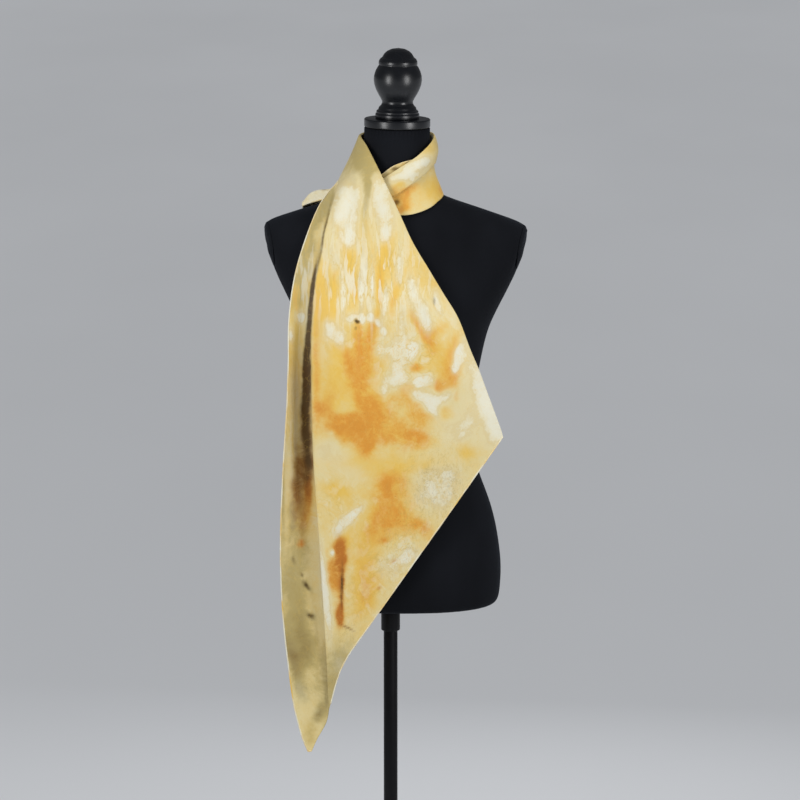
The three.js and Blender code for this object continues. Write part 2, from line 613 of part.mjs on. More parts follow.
function shoulderTail() {
  const rows = tailSections.map((row) => ({ ...row, reach: -row.x }));
  const nearest = rows[0].reach;
  const furthest = rows[rows.length - 1].reach;
  return wall((u, v) => {
    const reach = nearest + (furthest - nearest) * u;
    const at = (name) => column(rows, "reach", name, reach);
    const points = ["front", "top", "back", "hem"].map(
      (place) => new THREE.Vector3(-reach, at(place + "Y"), at(place + "Z")),
    );
    return new THREE.CatmullRomCurve3(points, false, "centripetal").getPoint(v);
  }, grids.shoulderTail);
}

const scarf = new THREE.Group();
scarf.add(
  piece("front_panel", wall(panelPoint, grids.frontPanel), "silk"),
  piece("edge_return", edgeReturn(), "silk"),
  piece("side_fold", sideFold(), "silk"),
  piece("neck_band", neckWall(bandSections, [], grids.neckBand), "silk"),
  piece("neck_roll", neckWall(rollSections, rollTuck, grids.neckRoll), "silk"),
  piece("inner_turn", innerTurn(), "silk"),
  piece("shoulder_tail", shoulderTail(), "silk"),
);

const part = new THREE.Group();
part.add(...standPieces(), formPieces(), scarf);

export default part;
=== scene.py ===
"""Looks of a hand-dyed silk square, wound round the neck of a velvet dress form, in metres."""

import math
from collections import namedtuple

import bmesh
import bpy
import numpy as np
from mathutils import Matrix, Vector, noise


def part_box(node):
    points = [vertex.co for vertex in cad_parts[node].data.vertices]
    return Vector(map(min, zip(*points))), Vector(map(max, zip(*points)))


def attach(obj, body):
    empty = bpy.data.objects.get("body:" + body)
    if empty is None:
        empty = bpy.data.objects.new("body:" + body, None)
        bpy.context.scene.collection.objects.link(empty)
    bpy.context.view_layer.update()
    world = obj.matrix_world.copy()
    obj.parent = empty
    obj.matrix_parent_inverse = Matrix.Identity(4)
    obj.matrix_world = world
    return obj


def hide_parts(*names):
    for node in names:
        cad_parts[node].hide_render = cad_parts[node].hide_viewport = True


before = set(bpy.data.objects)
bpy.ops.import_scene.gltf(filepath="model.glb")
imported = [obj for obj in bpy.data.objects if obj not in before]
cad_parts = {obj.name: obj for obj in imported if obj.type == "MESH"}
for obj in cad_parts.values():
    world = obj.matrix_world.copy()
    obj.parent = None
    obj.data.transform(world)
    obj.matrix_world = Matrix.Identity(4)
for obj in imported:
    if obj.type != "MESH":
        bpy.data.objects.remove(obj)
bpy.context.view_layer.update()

bl_info = {
    "name": "Silk square on a dress form",
    "version": (1, 0, 0),
    "blender": (4, 5, 0),
    "location": "View3D > Sidebar > Silk square",
    "description": "Builds the scarf, the velvet form and its stand round the packed model",
    "category": "Add Mesh",
}

MM = 0.001

# The form leans a little about the foot of its body, where it meets the pole.
FORM_FOOT = 0.7935
FORM_LEAN = math.radians(0.8)
JOIN_TURN = 235
JOIN_OVERLAP = 4.5
JOIN_INSET = 1.1

# Sections of the front fall, from behind the neck to the lower hem, in millimetres as in the solids:
# its left fold, its right fold, and how far it stands forward between them.
PanelRow = namedtuple("PanelRow", "ridge_x ridge_y ridge_z edge_x edge_y edge_z bulge")
PANEL = [
    PanelRow(-39.7, 33.6, 1459, -35.4, 30.9, 1503.5, 0),
    PanelRow(-60, 15, 1452, -45, 11, 1503, 0.5),
    PanelRow(-73.5, -9, 1443, -45.5, -9, 1501.5, 2),
    PanelRow(-79, -36, 1431, -34.5, -38, 1489, 4),
    PanelRow(-82.5, -57, 1419, -20, -59, 1465, 5),
    PanelRow(-90, -73, 1393, -2, -71, 1429.5, 5),
    PanelRow(-100, -89, 1358.5, 15.8, -76, 1391.5, 5),
    PanelRow(-108.6, -103, 1319, 33.3, -86, 1354.5, 6),
    PanelRow(-114.4, -114, 1274, 58.2, -101, 1314.5, 9),
    PanelRow(-116, -121, 1231, 78.7, -112, 1282, 15),
    PanelRow(-116.7, -125, 1170, 99.2, -116, 1248.5, 16),
    PanelRow(-115.8, -126, 1100, 118.3, -116, 1199, 15),
    PanelRow(-113.6, -126, 1028, 131.6, -115, 1167, 13),
    PanelRow(-108.4, -125, 950, 142, -113, 1138, 11),
    PanelRow(-103.8, -124, 880, 151.4, -112, 1112, 9),
    PanelRow(-99.8, -123, 808, 158.6, -110, 1092, 7),
    PanelRow(-95.6, -122, 733, 163.4, -108, 1078, 5),
    PanelRow(-91.6, -121, 656, 166, -107, 1067, 3),
]
HEM_BEND_SHARE = 0.05
HEM_BEND_RISE = 42
HEM_BEND_WIDTH = 0.045
HEM_FADE_POWER = 5

# Soft folds of the front fall, as shares of its width and length.
Fold = namedtuple("Fold", "at width rise start end")
PANEL_FOLDS = [
    Fold(0.16, 0.075, 3.5, 0.16, 0.92),
    Fold(0.34, 0.08, -2.5, 0.2, 0.62),
    Fold(0.52, 0.07, 3.5, 0.12, 0.7),
    Fold(0.7, 0.07, -2.5, 0.24, 0.56),
    Fold(0.85, 0.06, 3.5, 0.3, 0.86),
]

# The strip turned back behind the right fold, as shares of the fall's width and length.
RETURN_SHARE = 0.2
RETURN_START = 0.3
RETURN_END = 0.985
RETURN_SLANT = 0.16

# Sections of the side fold: its left hem, the side hidden by the fall, and the valley between them.
SideRow = namedtuple("SideRow", "hem_x hem_y hem_z inner_x inner_y inner_z valley")
SIDE = [
    SideRow(-46.7, 38.1, 1415, -36.4, 31.2, 1460, 0),
    SideRow(-68, 18, 1430, -54, 13, 1455, 0),
    SideRow(-77, -7, 1435, -63, -7, 1449, 0),
    SideRow(-81, -27, 1431.5, -66, -30, 1437, 0),
    SideRow(-92, -37, 1421, -68, -45, 1418, 0),
    SideRow(-105, -46, 1402, -73, -57, 1396, 0),
    SideRow(-125.7, -70, 1353, -80, -84, 1350, -3),
    SideRow(-141, -86, 1300, -90, -101, 1300, 0),
    SideRow(-149, -98, 1240, -96, -111, 1240, 7),
    SideRow(-150, -105, 1180, -96, -109, 1180, 14),
    SideRow(-152.5, -109, 1110, -94, -104, 1110, 17),
    SideRow(-157.8, -112, 1030, -90, -105, 1030, 16),
    SideRow(-161.6, -114, 950, -84, -107, 950, 13),
    SideRow(-162.6, -116, 870, -78, -110, 870, 10),
    SideRow(-159, -117, 790, -77, -113, 790, 7),
    SideRow(-151.6, -118, 720, -84, -116, 720, 4),
    SideRow(-144.4, -119, 665, -90.6, -117, 665, 2),
    SideRow(-137.5, -119, 633, -95.6, -118, 636, 1),
    SideRow(-130, -120, 608, -109.5, -119, 610, 0),
    SideRow(-123, -120, 591, -117.5, -120, 592, 0),
]

# Sections round the neck by turn, 0 in front and 90 at the right: radius and height at three levels.
NeckRow = namedtuple("NeckRow", "turn low_r low_z mid_r mid_z top_r top_z")
BAND = [
    NeckRow(-28, 66, 1397, 59, 1416, 57, 1433),
    NeckRow(0, 66, 1391.5, 59.5, 1416, 57, 1440),
    NeckRow(16, 67.6, 1391.5, 59.5, 1420, 57, 1446),
    NeckRow(30, 70.4, 1395, 59, 1426, 56.5, 1456),
    NeckRow(46, 72.5, 1401.5, 58.5, 1434, 56, 1464.5),
    NeckRow(60, 72.3, 1408.5, 58, 1441, 55, 1469),
    NeckRow(90, 70, 1414, 57.5, 1446, 53.5, 1471),
    NeckRow(135, 70, 1415, 59, 1444, 54, 1469),
    NeckRow(180, 67, 1415, 60, 1441, 54, 1467),
    NeckRow(JOIN_TURN, 66, 1415, 58.5, 1440, 54.5, 1463),
]
ROLL = [
    NeckRow(-22, 64, 1413, 63.5, 1428, 58.5, 1440.5),
    NeckRow(0, 62, 1421, 63, 1441, 58.5, 1455.5),
    NeckRow(16, 61.5, 1432, 63, 1451, 58.5, 1465.5),
    NeckRow(30, 61.3, 1442, 63, 1459.5, 58.5, 1473.5),
    NeckRow(46, 60.5, 1450.5, 62.5, 1468, 58, 1483),
    NeckRow(60, 59.5, 1458, 62, 1475, 57.5, 1490),
    NeckRow(75, 58.5, 1461, 61.5, 1479.5, 57, 1496),
    NeckRow(90, 58, 1461, 61.5, 1481, 56, 1500.5),
    NeckRow(135, 58.5, 1460, 60.5, 1482, 55.5, 1503),
    NeckRow(180, 58.5, 1459, 60, 1481.5, 55, 1503.5),
    NeckRow(JOIN_TURN, 59, 1459, 58.5, 1480.5, 54.5, 1503.5),
]
Tuck = namedtuple("Tuck", "inset drop")
ROLL_TUCK = [Tuck(1.4, -1.6), Tuck(3.2, 2), Tuck(3.4, 10)]

# Sections of the inner turn that stands up between the neck and the roll.
InnerRow = namedtuple("InnerRow", "turn radius top_z")
INNER = [
    InnerRow(-30, 53.1, 1445),
    InnerRow(-24, 53.1, 1448.5),
    InnerRow(-8, 53.1, 1460),
    InnerRow(6, 53.1, 1466),
    InnerRow(18, 53, 1469),
    InnerRow(30, 52.8, 1470.5),
    InnerRow(48, 52.5, 1471),
]
INNER_HEIGHT = 15

# Sections of the end over the shoulder, from the neck outwards.
TailRow = namedtuple("TailRow", "reach front_y front_z top_y top_z back_y back_z hem_y hem_z")
TAIL = [
    TailRow(58, -8, 1421, 10, 1424, 60, 1411, 88, 1376),
    TailRow(66, -4, 1416, 14, 1421, 63, 1407, 92, 1358),
    TailRow(80, 0, 1411, 16, 1420.5, 65, 1399, 95, 1330),
    TailRow(95, 3, 1406.5, 19, 1418, 69, 1390, 97, 1306),
    TailRow(109, 5, 1403, 21, 1416.5, 71, 1385, 96, 1303),
    TailRow(121, 7, 1399.5, 21, 1411, 69, 1379, 91, 1326),
    TailRow(131, 10, 1395, 19, 1399, 60, 1376, 82, 1352),
]

# Places where dye was poured or kept out, and where shade and light are painted, in millimetres on the fall: centre,
# half sizes, tilt and dyes.
Pool = namedtuple("Pool", "x z half_x half_z tilt gold orange rust brown olive resist")
POOLS = [
    # The peak and the two pale lobes below it.
    Pool(-39, 1484, 36, 57, 0, 0.25, 0, 0, 0, 1.5, -0.2),
    Pool(-17, 1459, 10.5, 39, 24, 0.6, 0, 0, 0, 0.2, 0),
    Pool(-61, 1401, 28.5, 51, 4, -0.6, 0, 0, 0, -0.3, 1),
    Pool(-8, 1407, 21, 48, 14, -0.6, 0, 0, 0, -0.3, 0.95),
    Pool(-59, 1361, 7.5, 15, 0, -0.3, 0, 0, 0, 0, 0.8),
    Pool(-9, 1365, 10.5, 13.5, 0, -0.3, 0, 0, 0, 0, 0.8),
    Pool(-34, 1421, 7.5, 63, -3, 0.4, 0, 0, 0, 0.8, -0.5),
    Pool(-69, 1359, 7.5, 39, 6, 0.4, 0, 0, 0, 0.15, 0),
    # Streaks and pale fingers over the chest.
    Pool(-35, 1297, 93, 69, 0, 0.38, 0.04, 0, 0, 0, 0),
    Pool(-59, 1331, 9, 30, 0, 0.6, 0.1, 0, 0, 0.15, 0),
    Pool(-6, 1339, 13.5, 30, -4, 0.75, 0.15, 0, 0, 0.15, 0),
    Pool(-15, 1291, 6, 39, 0, 0.6, 0.5, 0.15, 0, 0, 0),
    Pool(-53, 1289, 7.5, 21, 0, 0.7, 0.4, 0, 0, 0, 0),
    Pool(-94, 1282, 16.5, 48, 0, 0.8, 0.14, 0, 0, 0, 0),
    Pool(7, 1276, 7.5, 39, -12, 0.6, 0.35, 0, 0, 0, 0),
    Pool(32, 1328, 10.5, 39, 14, 0.5, 0.05, 0, 0, 0.1, 0),
    Pool(58, 1302, 12, 36, 28, 0.4, 0.15, 0, 0, 0.35, 0),
    Pool(-85, 1332, 6, 22.5, 3, -0.5, 0, 0, 0, 0, 0.8),
    Pool(-71, 1288, 6.75, 45, 0, -0.5, 0, 0, 0, 0, 0.9),
    Pool(-43, 1285, 6.75, 39, 0, -0.5, 0, 0, 0, 0, 0.85),
    Pool(-27, 1294, 6, 42, -1, -0.5, 0, 0, 0, 0, 0.8),
    Pool(-6, 1268, 6.75, 30, -8, -0.5, 0, 0, 0, 0, 0.9),
    Pool(13, 1322, 7.5, 36, -8, -0.4, 0, 0, 0, 0, 0.7),
    Pool(35, 1285, 10.5, 39, 8, -0.5, 0, 0, 0, 0, 0.9),
    Pool(52, 1248, 9, 24, 8, -0.6, 0, 0, 0, 0, 1.2),
    Pool(68, 1268, 7.5, 27, 14, -0.5, 0, 0, 0, 0, 0.8),
    Pool(39, 1242, 5.25, 22.5, 22, 0.5, 0.6, 0, 0, 0, 0),
    Pool(-88, 1233, 12, 19.5, 0, -0.4, 0, 0, 0, 0, 0.8),
    Pool(-71, 1218, 13.5, 15, 0, -0.4, 0, 0, 0, 0, 0.6),
    Pool(-56, 1248, 10.5, 9, 0, -0.5, 0, 0, 0, 0, 0.9),
    Pool(-41, 1246, 6.75, 7.5, 0, -0.5, 0, 0, 0, 0, 1.1),
    Pool(-28, 1248, 6, 7.5, 0, -0.5, 0, 0, 0, 0, 1.2),
    Pool(-18, 1242, 5.4, 7.5, 0, -0.5, 0, 0, 0, 0, 1.2),
    Pool(-9, 1230, 5.7, 7.5, 0, -0.5, 0, 0, 0, 0, 1.2),
    Pool(-50, 1244, 3.3, 4.2, 30, 0, 0, 0, 0.75, 0.3, -0.8),
    Pool(-46, 1243, 3.3, 2.1, 20, 0, 0, 0, 0.7, 0.2, -0.5),
    Pool(-50, 1234, 2.7, 3.6, 0, 0, 0, 0.2, 0.5, 0.2, -0.6),
    Pool(64, 1272, 2.7, 7.5, 0, 0, 0, 0, 0.5, 0.3, 0),
    # Orange clouds and pale petals.
    Pool(-44, 1220, 8.25, 30, 8, 0.5, 0.75, 0, 0, 0, -0.4),
    Pool(-25, 1226, 10.5, 27, -14, 0.5, 0.9, 0, 0, 0, -0.4),
    Pool(-34, 1188, 13.5, 30, 0, 0.5, 0.85, 0, 0, 0, 0),
    Pool(-58, 1175, 12, 33, 12, 0.5, 0.8, 0.1, 0, 0, 0),
    Pool(-39, 1147, 19.5, 42, 6, 0.6, 0.75, 0.05, 0, 0, 0),
    Pool(-15, 1168, 13.5, 39, 0, 0.5, 0.3, 0, 0, 0, 0),
    Pool(-81, 1174, 36, 66, 0, 0.75, 0.14, 0, 0, 0, 0),
    Pool(-109, 1168, 6, 90, 0, 0.5, 0.5, 0, 0, 0, 0),
    Pool(-107, 1268, 7.5, 60, 0, 0.7, 0.2, 0, 0, 0, -0.3),
    Pool(-11, 1203, 15, 16.5, 0, -0.3, 0, 0, 0, 0, 0.75),
    Pool(7, 1197, 12, 45, 0, -0.3, 0, 0, 0, 0, 0.6),
    Pool(20, 1236, 9, 36, 0, -0.3, 0, 0, 0, 0, 0.55),
    Pool(30, 1203, 11.2, 19.5, -14, -0.8, -0.6, 0, 0, 0, 1.5),
    Pool(10, 1157, 22.5, 18, -20, -0.4, -0.3, 0, 0, 0, 0.9),
    Pool(-8, 1141, 7.5, 13.5, 0, -0.2, -0.2, 0, 0, 0, 0.6),
    Pool(35, 1175, 13.5, 9, 0, 0.5, 0.7, 0, 0, 0, 0),
    Pool(55, 1220, 12, 30, 22, 0.6, 0.75, 0.05, 0, 0, 0),
    Pool(70, 1230, 21, 12, 0, 0.5, 0.35, 0, 0, 0, 0),
    Pool(67, 1188, 27, 27, 0, 0.5, 0.12, 0, 0, 0, 0),
    Pool(90, 1165, 16.5, 39, -8, 0.6, 0.85, 0.08, 0, 0, 0),
    Pool(70, 1147, 9, 13.5, 0, 0.5, 0.8, 0.2, 0, 0, 0),
    Pool(98, 1206, 10.5, 27, -28, 0.6, 0.35, 0, 0, 0, 0),
    Pool(101, 1194, 9, 19.5, -22, -0.5, -0.5, 0, 0, 0, 0.8),
    Pool(95, 1175, 5.1, 9, -20, -0.5, -0.6, 0, 0, 0, 1),
    Pool(26, 1135, 22.5, 22.5, 0, 0.5, 0.7, 0, 0, 0, 0),
    Pool(41, 1153, 7.5, 7.5, 0, -0.7, -0.8, 0, 0, 0, 1.6),
    Pool(55, 1154, 13.5, 12, 0, -0.3, -0.3, 0, 0, 0, 0.75),
    Pool(47, 1132, 21, 9, -16, -0.6, -0.7, 0, 0, 0, 1),
    Pool(63, 1126, 13.5, 12, 24, -0.5, -0.6, 0, 0, 0, 0.7),
    Pool(63, 1115, 6.75, 18, 24, -0.5, -0.6, 0, 0, 0, 0.8),
    Pool(82, 1132, 13.5, 9, 18, -0.4, -0.5, 0, 0, 0, 0.6),
    Pool(98, 1132, 6, 12, 0, 0.4, 0.5, 0.1, 0, 0, 0),
    Pool(-67, 1087, 36, 21, -4, 0.6, 0.95, 0.22, 0, 0, 0),
    Pool(-18, 1093, 51, 30, 3, 0.6, 0.95, 0.1, 0, 0, 0),
    Pool(-27, 1123, 22.5, 30, 0, 0.5, 0.45, 0.1, 0, 0, 0),
    Pool(17, 1072, 33, 19.5, 8, 0.5, 0.9, 0.14, 0, 0, 0),
    Pool(50, 1105, 19.5, 21, 20, 0.5, 0.7, 0, 0, 0, 0),
    Pool(-36, 1064, 18, 24, 0, 0.5, 0.65, 0.15, 0, 0, 0),
    Pool(-102, 1114, 12, 13.5, 0, 0.3, 0.7, 0.2, 0, 0, 0),
    Pool(-88, 1132, 21, 27, 0, 0.3, 0.35, 0, 0, 0, 0),
    Pool(44, 1066, 21, 12, 0, 0.4, 0.5, 0, 0, 0, 0),
    Pool(82, 1108, 15, 12, 0, 0.5, 0.3, 0, 0, 0, 0),
    Pool(-67, 1120, 15, 12, 0, 0, -0.5, 0, 0, 0, 0.1),
    Pool(20, 1108, 9, 9, 0, 0, -0.4, 0, 0, 0, 0.2),
    Pool(142, 1135, 18, 75, 24, -0.8, -0.5, 0, 0, 0, 1.1),
    Pool(120, 1114, 30, 69, 24, -0.4, -0.2, 0, 0, 0.05, 0.3),
    Pool(157, 1078, 15, 21, 0, -0.6, 0, 0, 0, 0, 1.2),
    Pool(97, 1081, 39, 27, 0, -0.1, -0.2, 0, 0, 0.15, 0.6),
    Pool(117, 1046, 19.5, 12, 0, 0.7, 0.05, 0, 0, 0, 0),
    Pool(2, 1031, 96, 18, 0, 0.55, 0.1, 0, 0, 0, 0),
    Pool(-89, 1048, 33, 21, 0, -0.2, -0.2, 0, 0, 0.1, 0.5),
    Pool(-56, 1021, 36, 15, 0, -0.1, -0.1, 0, 0, 0.05, 0.3),
    # The lower half, with its rust patch.
    Pool(-80, 991, 21, 13.5, 0, 0.95, 0.1, 0, 0, 0, 0),
    Pool(-67, 964, 45, 33, 0, 0.3, 0, 0, 0, 0.05, 0),
    Pool(-3, 994, 10.5, 21, 8, 0.4, 0.8, 0.3, 0, 0, 0),
    Pool(7, 988, 36, 30, 0, 0.6, 0.7, 0, 0, 0, 0),
    Pool(2, 947, 33, 27, 0, 0.6, 0.8, 0.05, 0, 0, 0),
    Pool(38, 935, 36, 13.5, -34, 0.5, 0.85, 0.12, 0, 0, 0),
    Pool(-24, 936, 15, 45, 0, 0.5, 0.3, 0, 0, 0, 0),
    Pool(8, 1012, 27, 13.5, 0, 0.5, 0.25, 0, 0, 0, 0),
    Pool(70, 991, 39, 39, -30, -0.2, -0.1, 0, 0, 0.4, 0.75),
    Pool(88, 1018, 21, 18, 0, -0.1, 0, 0, 0, 0.25, 0.3),
    Pool(54, 1021, 12, 12, 0, 0.5, 0.1, 0, 0, 0.2, 0),
    Pool(-68, 941, 27, 10.5, 42, -0.5, -0.3, 0, 0, 0, 0.9),
    Pool(-51, 961, 19.5, 7.5, 40, -0.4, -0.2, 0, 0, 0, 0.7),
    Pool(26, 891, 24, 15, 50, -0.4, 0, 0, 0, 0, 0.8),
    Pool(2, 876, 18, 30, -38, -0.3, 0, 0, 0, 0.1, 0.6),
    Pool(-43, 858, 25.5, 75, 0, 0.8, 0.38, 0, 0, 0, 0),
    Pool(-24, 842, 15, 36, -34, 0.5, 0.3, 0, 0, 0, 0),
    Pool(-69, 915, 13.5, 15, 0, 0.6, 0.1, 0, 0, 0, 0),
    Pool(-76, 896, 10.5, 30, -4, 0.4, 1, 1, 0, 0, 0),
    Pool(-86, 861, 10.5, 39, 8, 0.5, 0.95, 0.4, 0, 0, 0),
    Pool(-73, 849, 5.4, 51, -1, 0.3, 0.6, 0.95, 0.15, 0, 0),
    Pool(-72, 845, 2.25, 39, -1, 0, 0, 0.7, 0.7, 0, 0),
    Pool(-76, 798, 6.75, 16.5, 0, 0.4, 0.85, 0.8, 0, 0, 0),
    Pool(-63, 781, 16.5, 2.4, -28, 0, 0.2, 0.4, 0.45, 0.1, 0),
    Pool(-86, 897, 3.9, 4.8, 0, -0.4, -1.2, -1.2, 0, 0, 1.2),
    Pool(-95, 820, 7.5, 60, 4, -0.8, -0.6, 0, 0, -0.1, 1),
    Pool(-101, 877, 5.1, 45, 3, -0.5, -0.2, 0, 0, 0, 0.8),
    Pool(-8, 914, 12, 7.5, 20, 0.3, 0.6, 0.2, 0, 0, 0),
    Pool(4, 882, 7.5, 4.5, 40, 0, 0.5, 0.5, 0.1, 0, 0),
    Pool(-17, 841, 5.4, 3, 30, 0, 0.4, 0.8, 0.15, 0, 0),
    # Painted shade: olive and a little brown darken the fall towards its lower tip.
    Pool(-75, 729, 36, 45, 0, 0.1, 0, 0, 0.12, 0.8, 0),
    Pool(-93, 671, 21, 60, 0, 0.1, 0, 0, 0.08, 0.9, 0.1),
    Pool(-78, 726, 12, 21, 0, -0.3, 0, 0, 0, 0.1, 0.35),
    # The side fold.
    Pool(-101, 1406, 18, 45, -26, 0.05, 0, 0, 0, 1.3, 0),
    Pool(-128, 1333, 16.5, 75, -14, 0.1, 0, 0, 0, 1.3, 0),
    Pool(-130, 1322, 3.9, 60, -14, 0, 0, 0.05, 0.15, 0.5, 0),
    # Painted shadow: a thin dark line of brown, rust and olive beside the fall's left fold.
    Pool(-99, 1355, 2.55, 69, -12, 0, 0, 0.15, 0.6, 0.4, -0.3),
    Pool(-114, 1287, 2.7, 45, -8, 0, 0, 0.25, 0.8, 0.2, -0.4),
    Pool(-140, 1270, 9, 45, -8, 0.3, 0, 0, 0, 0.35, 0.1),
    Pool(-131, 1247, 9, 12, 0, -0.5, 0, 0, 0, -0.3, 1),
    Pool(-147, 1218, 6, 13.5, 0, -0.4, 0, 0, 0, -0.3, 0.9),
    Pool(-138, 1195, 6, 45, 0, 0.5, 0, 0, 0, 0.3, 0),
    # Painted light: pale cream and gold, with less olive, where the side fold turns away into shade.
    Pool(-143, 1130, 12, 69, 0, 0.35, 0, 0, 0, -0.3, 0.45),
    Pool(-149, 1195, 7.5, 39, 0, 0.7, 0.05, 0, 0, 0.1, 0),
    Pool(-134, 1227, 6, 39, 2, 0.5, 0, 0.05, 0.05, 0.3, 0),
    # Painted shade: brown and rust down the valley between the side fold and the fall, mixed lower down with gold,
    # orange and olive.
    Pool(-119, 1233, 4.2, 60, -5, 0, 0, 0.35, 1, 0.1, -0.4),
    Pool(-123, 1165, 6, 63, -3, 0, 0, 0.45, 1.1, 0, -0.5),
    Pool(-123, 1106, 8.25, 69, 0, 0.1, 0, 0.6, 0.75, 0.2, -0.4),
    Pool(-121, 1031, 10.5, 69, 3, 0.1, 0.2, 0.5, 0.55, 0.3, -0.3),
    Pool(-136, 1010, 12, 63, 3, 0.3, 0.2, 0.5, 0.42, 0.5, -0.3),
    Pool(-132, 951, 15, 48, 2, 0.5, 0.25, 0.3, 0.16, 0.4, 0),
    Pool(-120, 983, 6, 24, 0, 0.5, 0.9, 0.35, 0, 0, 0),
    Pool(-125, 944, 12, 24, 0, 0.5, 0.25, 0.1, 0, 0.1, 0),
    Pool(-145, 944, 9, 45, 0, 0.4, 0, 0.05, 0.2, 0.5, 0),
    Pool(-159, 974, 3.6, 75, 0, 0.2, 0, 0, 0, 0.7, 0),
    Pool(-134, 903, 7.5, 6.75, 0, 0.3, 0.7, 0.65, 0, 0, 0),
    Pool(-143, 837, 22.5, 90, 0, 0.35, 0, 0.04, 0.17, 1.4, 0),
    Pool(-124, 840, 9.75, 3.6, -50, 0, 0, 0.2, 0.7, 0.4, 0),
    Pool(-131, 857, 4.5, 2.4, -60, 0, 0, 0.1, 0.6, 0.2, 0),
    Pool(-118, 796, 6.6, 3.9, -30, 0, 0, 0.2, 0.8, 0.4, 0),
    Pool(-144, 881, 3, 6, 20, 0, 0, 0.1, 0.4, 0.4, 0),
    # Painted shade: the olive and brown of these rows darken the side fold towards the lower tip, beside its gold and
    # pale dye.
    Pool(-129, 755, 18, 54, 0, 0.7, 0, 0.08, 0.36, 1.6, 0),
    Pool(-148, 737, 10.5, 45, 14, 0.1, 0, 0.2, 0.3, 0.7, 0),
    Pool(-132, 682, 12, 24, 20, -0.1, 0, 0, 0.05, 0.8, 0.35),
    Pool(-107, 648, 9, 18, -28, 0.1, 0, 0.15, 0.35, 0.5, 0),
    Pool(-123, 620, 13.5, 21, 0, 0.3, 0.05, 0, 0, 0.6, 0),
]
# The dye channels; the brown, rust and olive also carry painted shade, and the gold and resist a patch of painted
# light.
DYES_AND_SHADE = ("gold", "orange", "rust", "brown", "olive", "resist")

# Places with pale vertical fingers, with petals and with fine crackle lines, given like the pools.
Mark = namedtuple("Mark", "x z half_x half_z tilt fingers petals crackle")
MARKS = [
    Mark(-33, 1299, 99, 66, 0, 1, 0, 0),
    Mark(-36, 1382, 45, 33, 0, 0.3, 0, 0),
    Mark(44, 1197, 72, 63, 0, 0, 0.9, 0),
    Mark(-59, 1208, 60, 36, 0, 0, 0.5, 0),
    Mark(-15, 1088, 90, 39, 0, 0, 0.25, 0.3),
    Mark(73, 997, 69, 60, -40, 0, 0.35, 1),
    Mark(14, 900, 42, 66, -38, 0, 0.6, 0.6),
    Mark(-67, 958, 60, 51, 0, 0, 0.7, 0.1),
    Mark(-38, 839, 39, 60, 0, 0, 0.4, 0.2),
    Mark(-67, 763, 39, 66, 0, 0, 0.15, 0.7),
    Mark(-93, 686, 21, 60, 0, 0, 0, 0.8),
    Mark(-136, 1284, 21, 90, -10, 0.45, 0, 0.1),
    Mark(-145, 1094, 18, 120, 0, 0.35, 0.2, 0.1),
    Mark(-135, 731, 27, 75, 0, 0, 0, 1.2),
    Mark(-134, 883, 27, 75, 0, 0, 0, 0.4),
]
KINDS = ("fingers", "petals", "crackle")

# The same round the neck, by turn and height.
NECK_POOLS = [
    Pool(10, 1420, 20, 20, 20, 0.6, 0.9, 0.1, 0, 0, 0),
    Pool(22, 1432, 14, 8, 25, 0.4, 0.8, 0.2, 0, 0, 0),
    Pool(8, 1401, 12, 8, 0, 0.5, 0.6, 0, 0, 0, 0),
    # Painted shade: rust and brown in a small pocket of the band.
    Pool(1.5, 1411, 4.5, 6, 0, 0, 0.2, 0.7, 0.8, 0, 0),
    Pool(64, 1430, 40, 30, 0, 0.7, 0.2, 0, 0, 0, 0),
    Pool(80, 1420, 12, 10, 0, 0.5, 0.4, 0, 0, 0, 0),
    Pool(14, 1452, 34, 13, 25, -0.4, -0.6, 0, 0, -0.2, 0.9),
    Pool(36, 1466, 26, 10, 20, -0.4, -0.5, 0, 0, 0, 0.6),
    Pool(28, 1457, 8, 4, 20, 0.8, 0, 0, 0, 0, -0.4),
    Pool(6, 1438, 8, 5, 20, 0.6, 0, 0, 0, 0, -0.4),
    Pool(58, 1486, 22, 10, 20, 0.4, 0.1, 0, 0, 0.2, 0),
    # Painted shade: olive on the top of the roll at its right side.
    Pool(90, 1490, 26, 24, 0, 0.3, 0, 0, 0, 0.7, 0),
    Pool(150, 1480, 40, 30, 0, 0.5, 0.3, 0, 0, 0.1, 0),
    Pool(190, 1430, 50, 30, 0, 0.5, 0.4, 0.05, 0, 0, 0),
]
INNER_POOLS = [
    # Painted shade: brown, rust and olive low in the pocket between the inner turn and the roll.
    Pool(-2, 1458, 12, 5, 0, 0.2, 0, 0.3, 0.6, 0.5, 0),
    Pool(9, 1462, 4, 6, 0, 0.6, 0.2, 0, -0.35, 0, 0.3),
    # Painted shade: the same pocket further round.
    Pool(20, 1464, 12, 5, 0, 0.2, 0, 0.35, 0.7, 0.5, 0),
    Pool(10, 1471, 50, 4, 10, 0, 0, -0.4, -0.8, -0.4, 0.9),
]

# The same on the end over the shoulder.
TAIL_POOLS = [
    Pool(-106, 1405, 44, 34, 0, 0, 0, 0, 0, 0, 0.95),
    # Painted shadow: brown where the end passes behind the side fold.
    Pool(-98, 1421, 7, 6, 0, 0, 0, 0.4, 0.7, 0.3, -0.3),
    Pool(-118, 1380, 18, 26, 0, 0.5, 0.1, 0, 0, 0.1, 0),
    Pool(-108, 1330, 16, 18, 0, 0.3, 0.3, 0, 0, 0.2, 0),
]

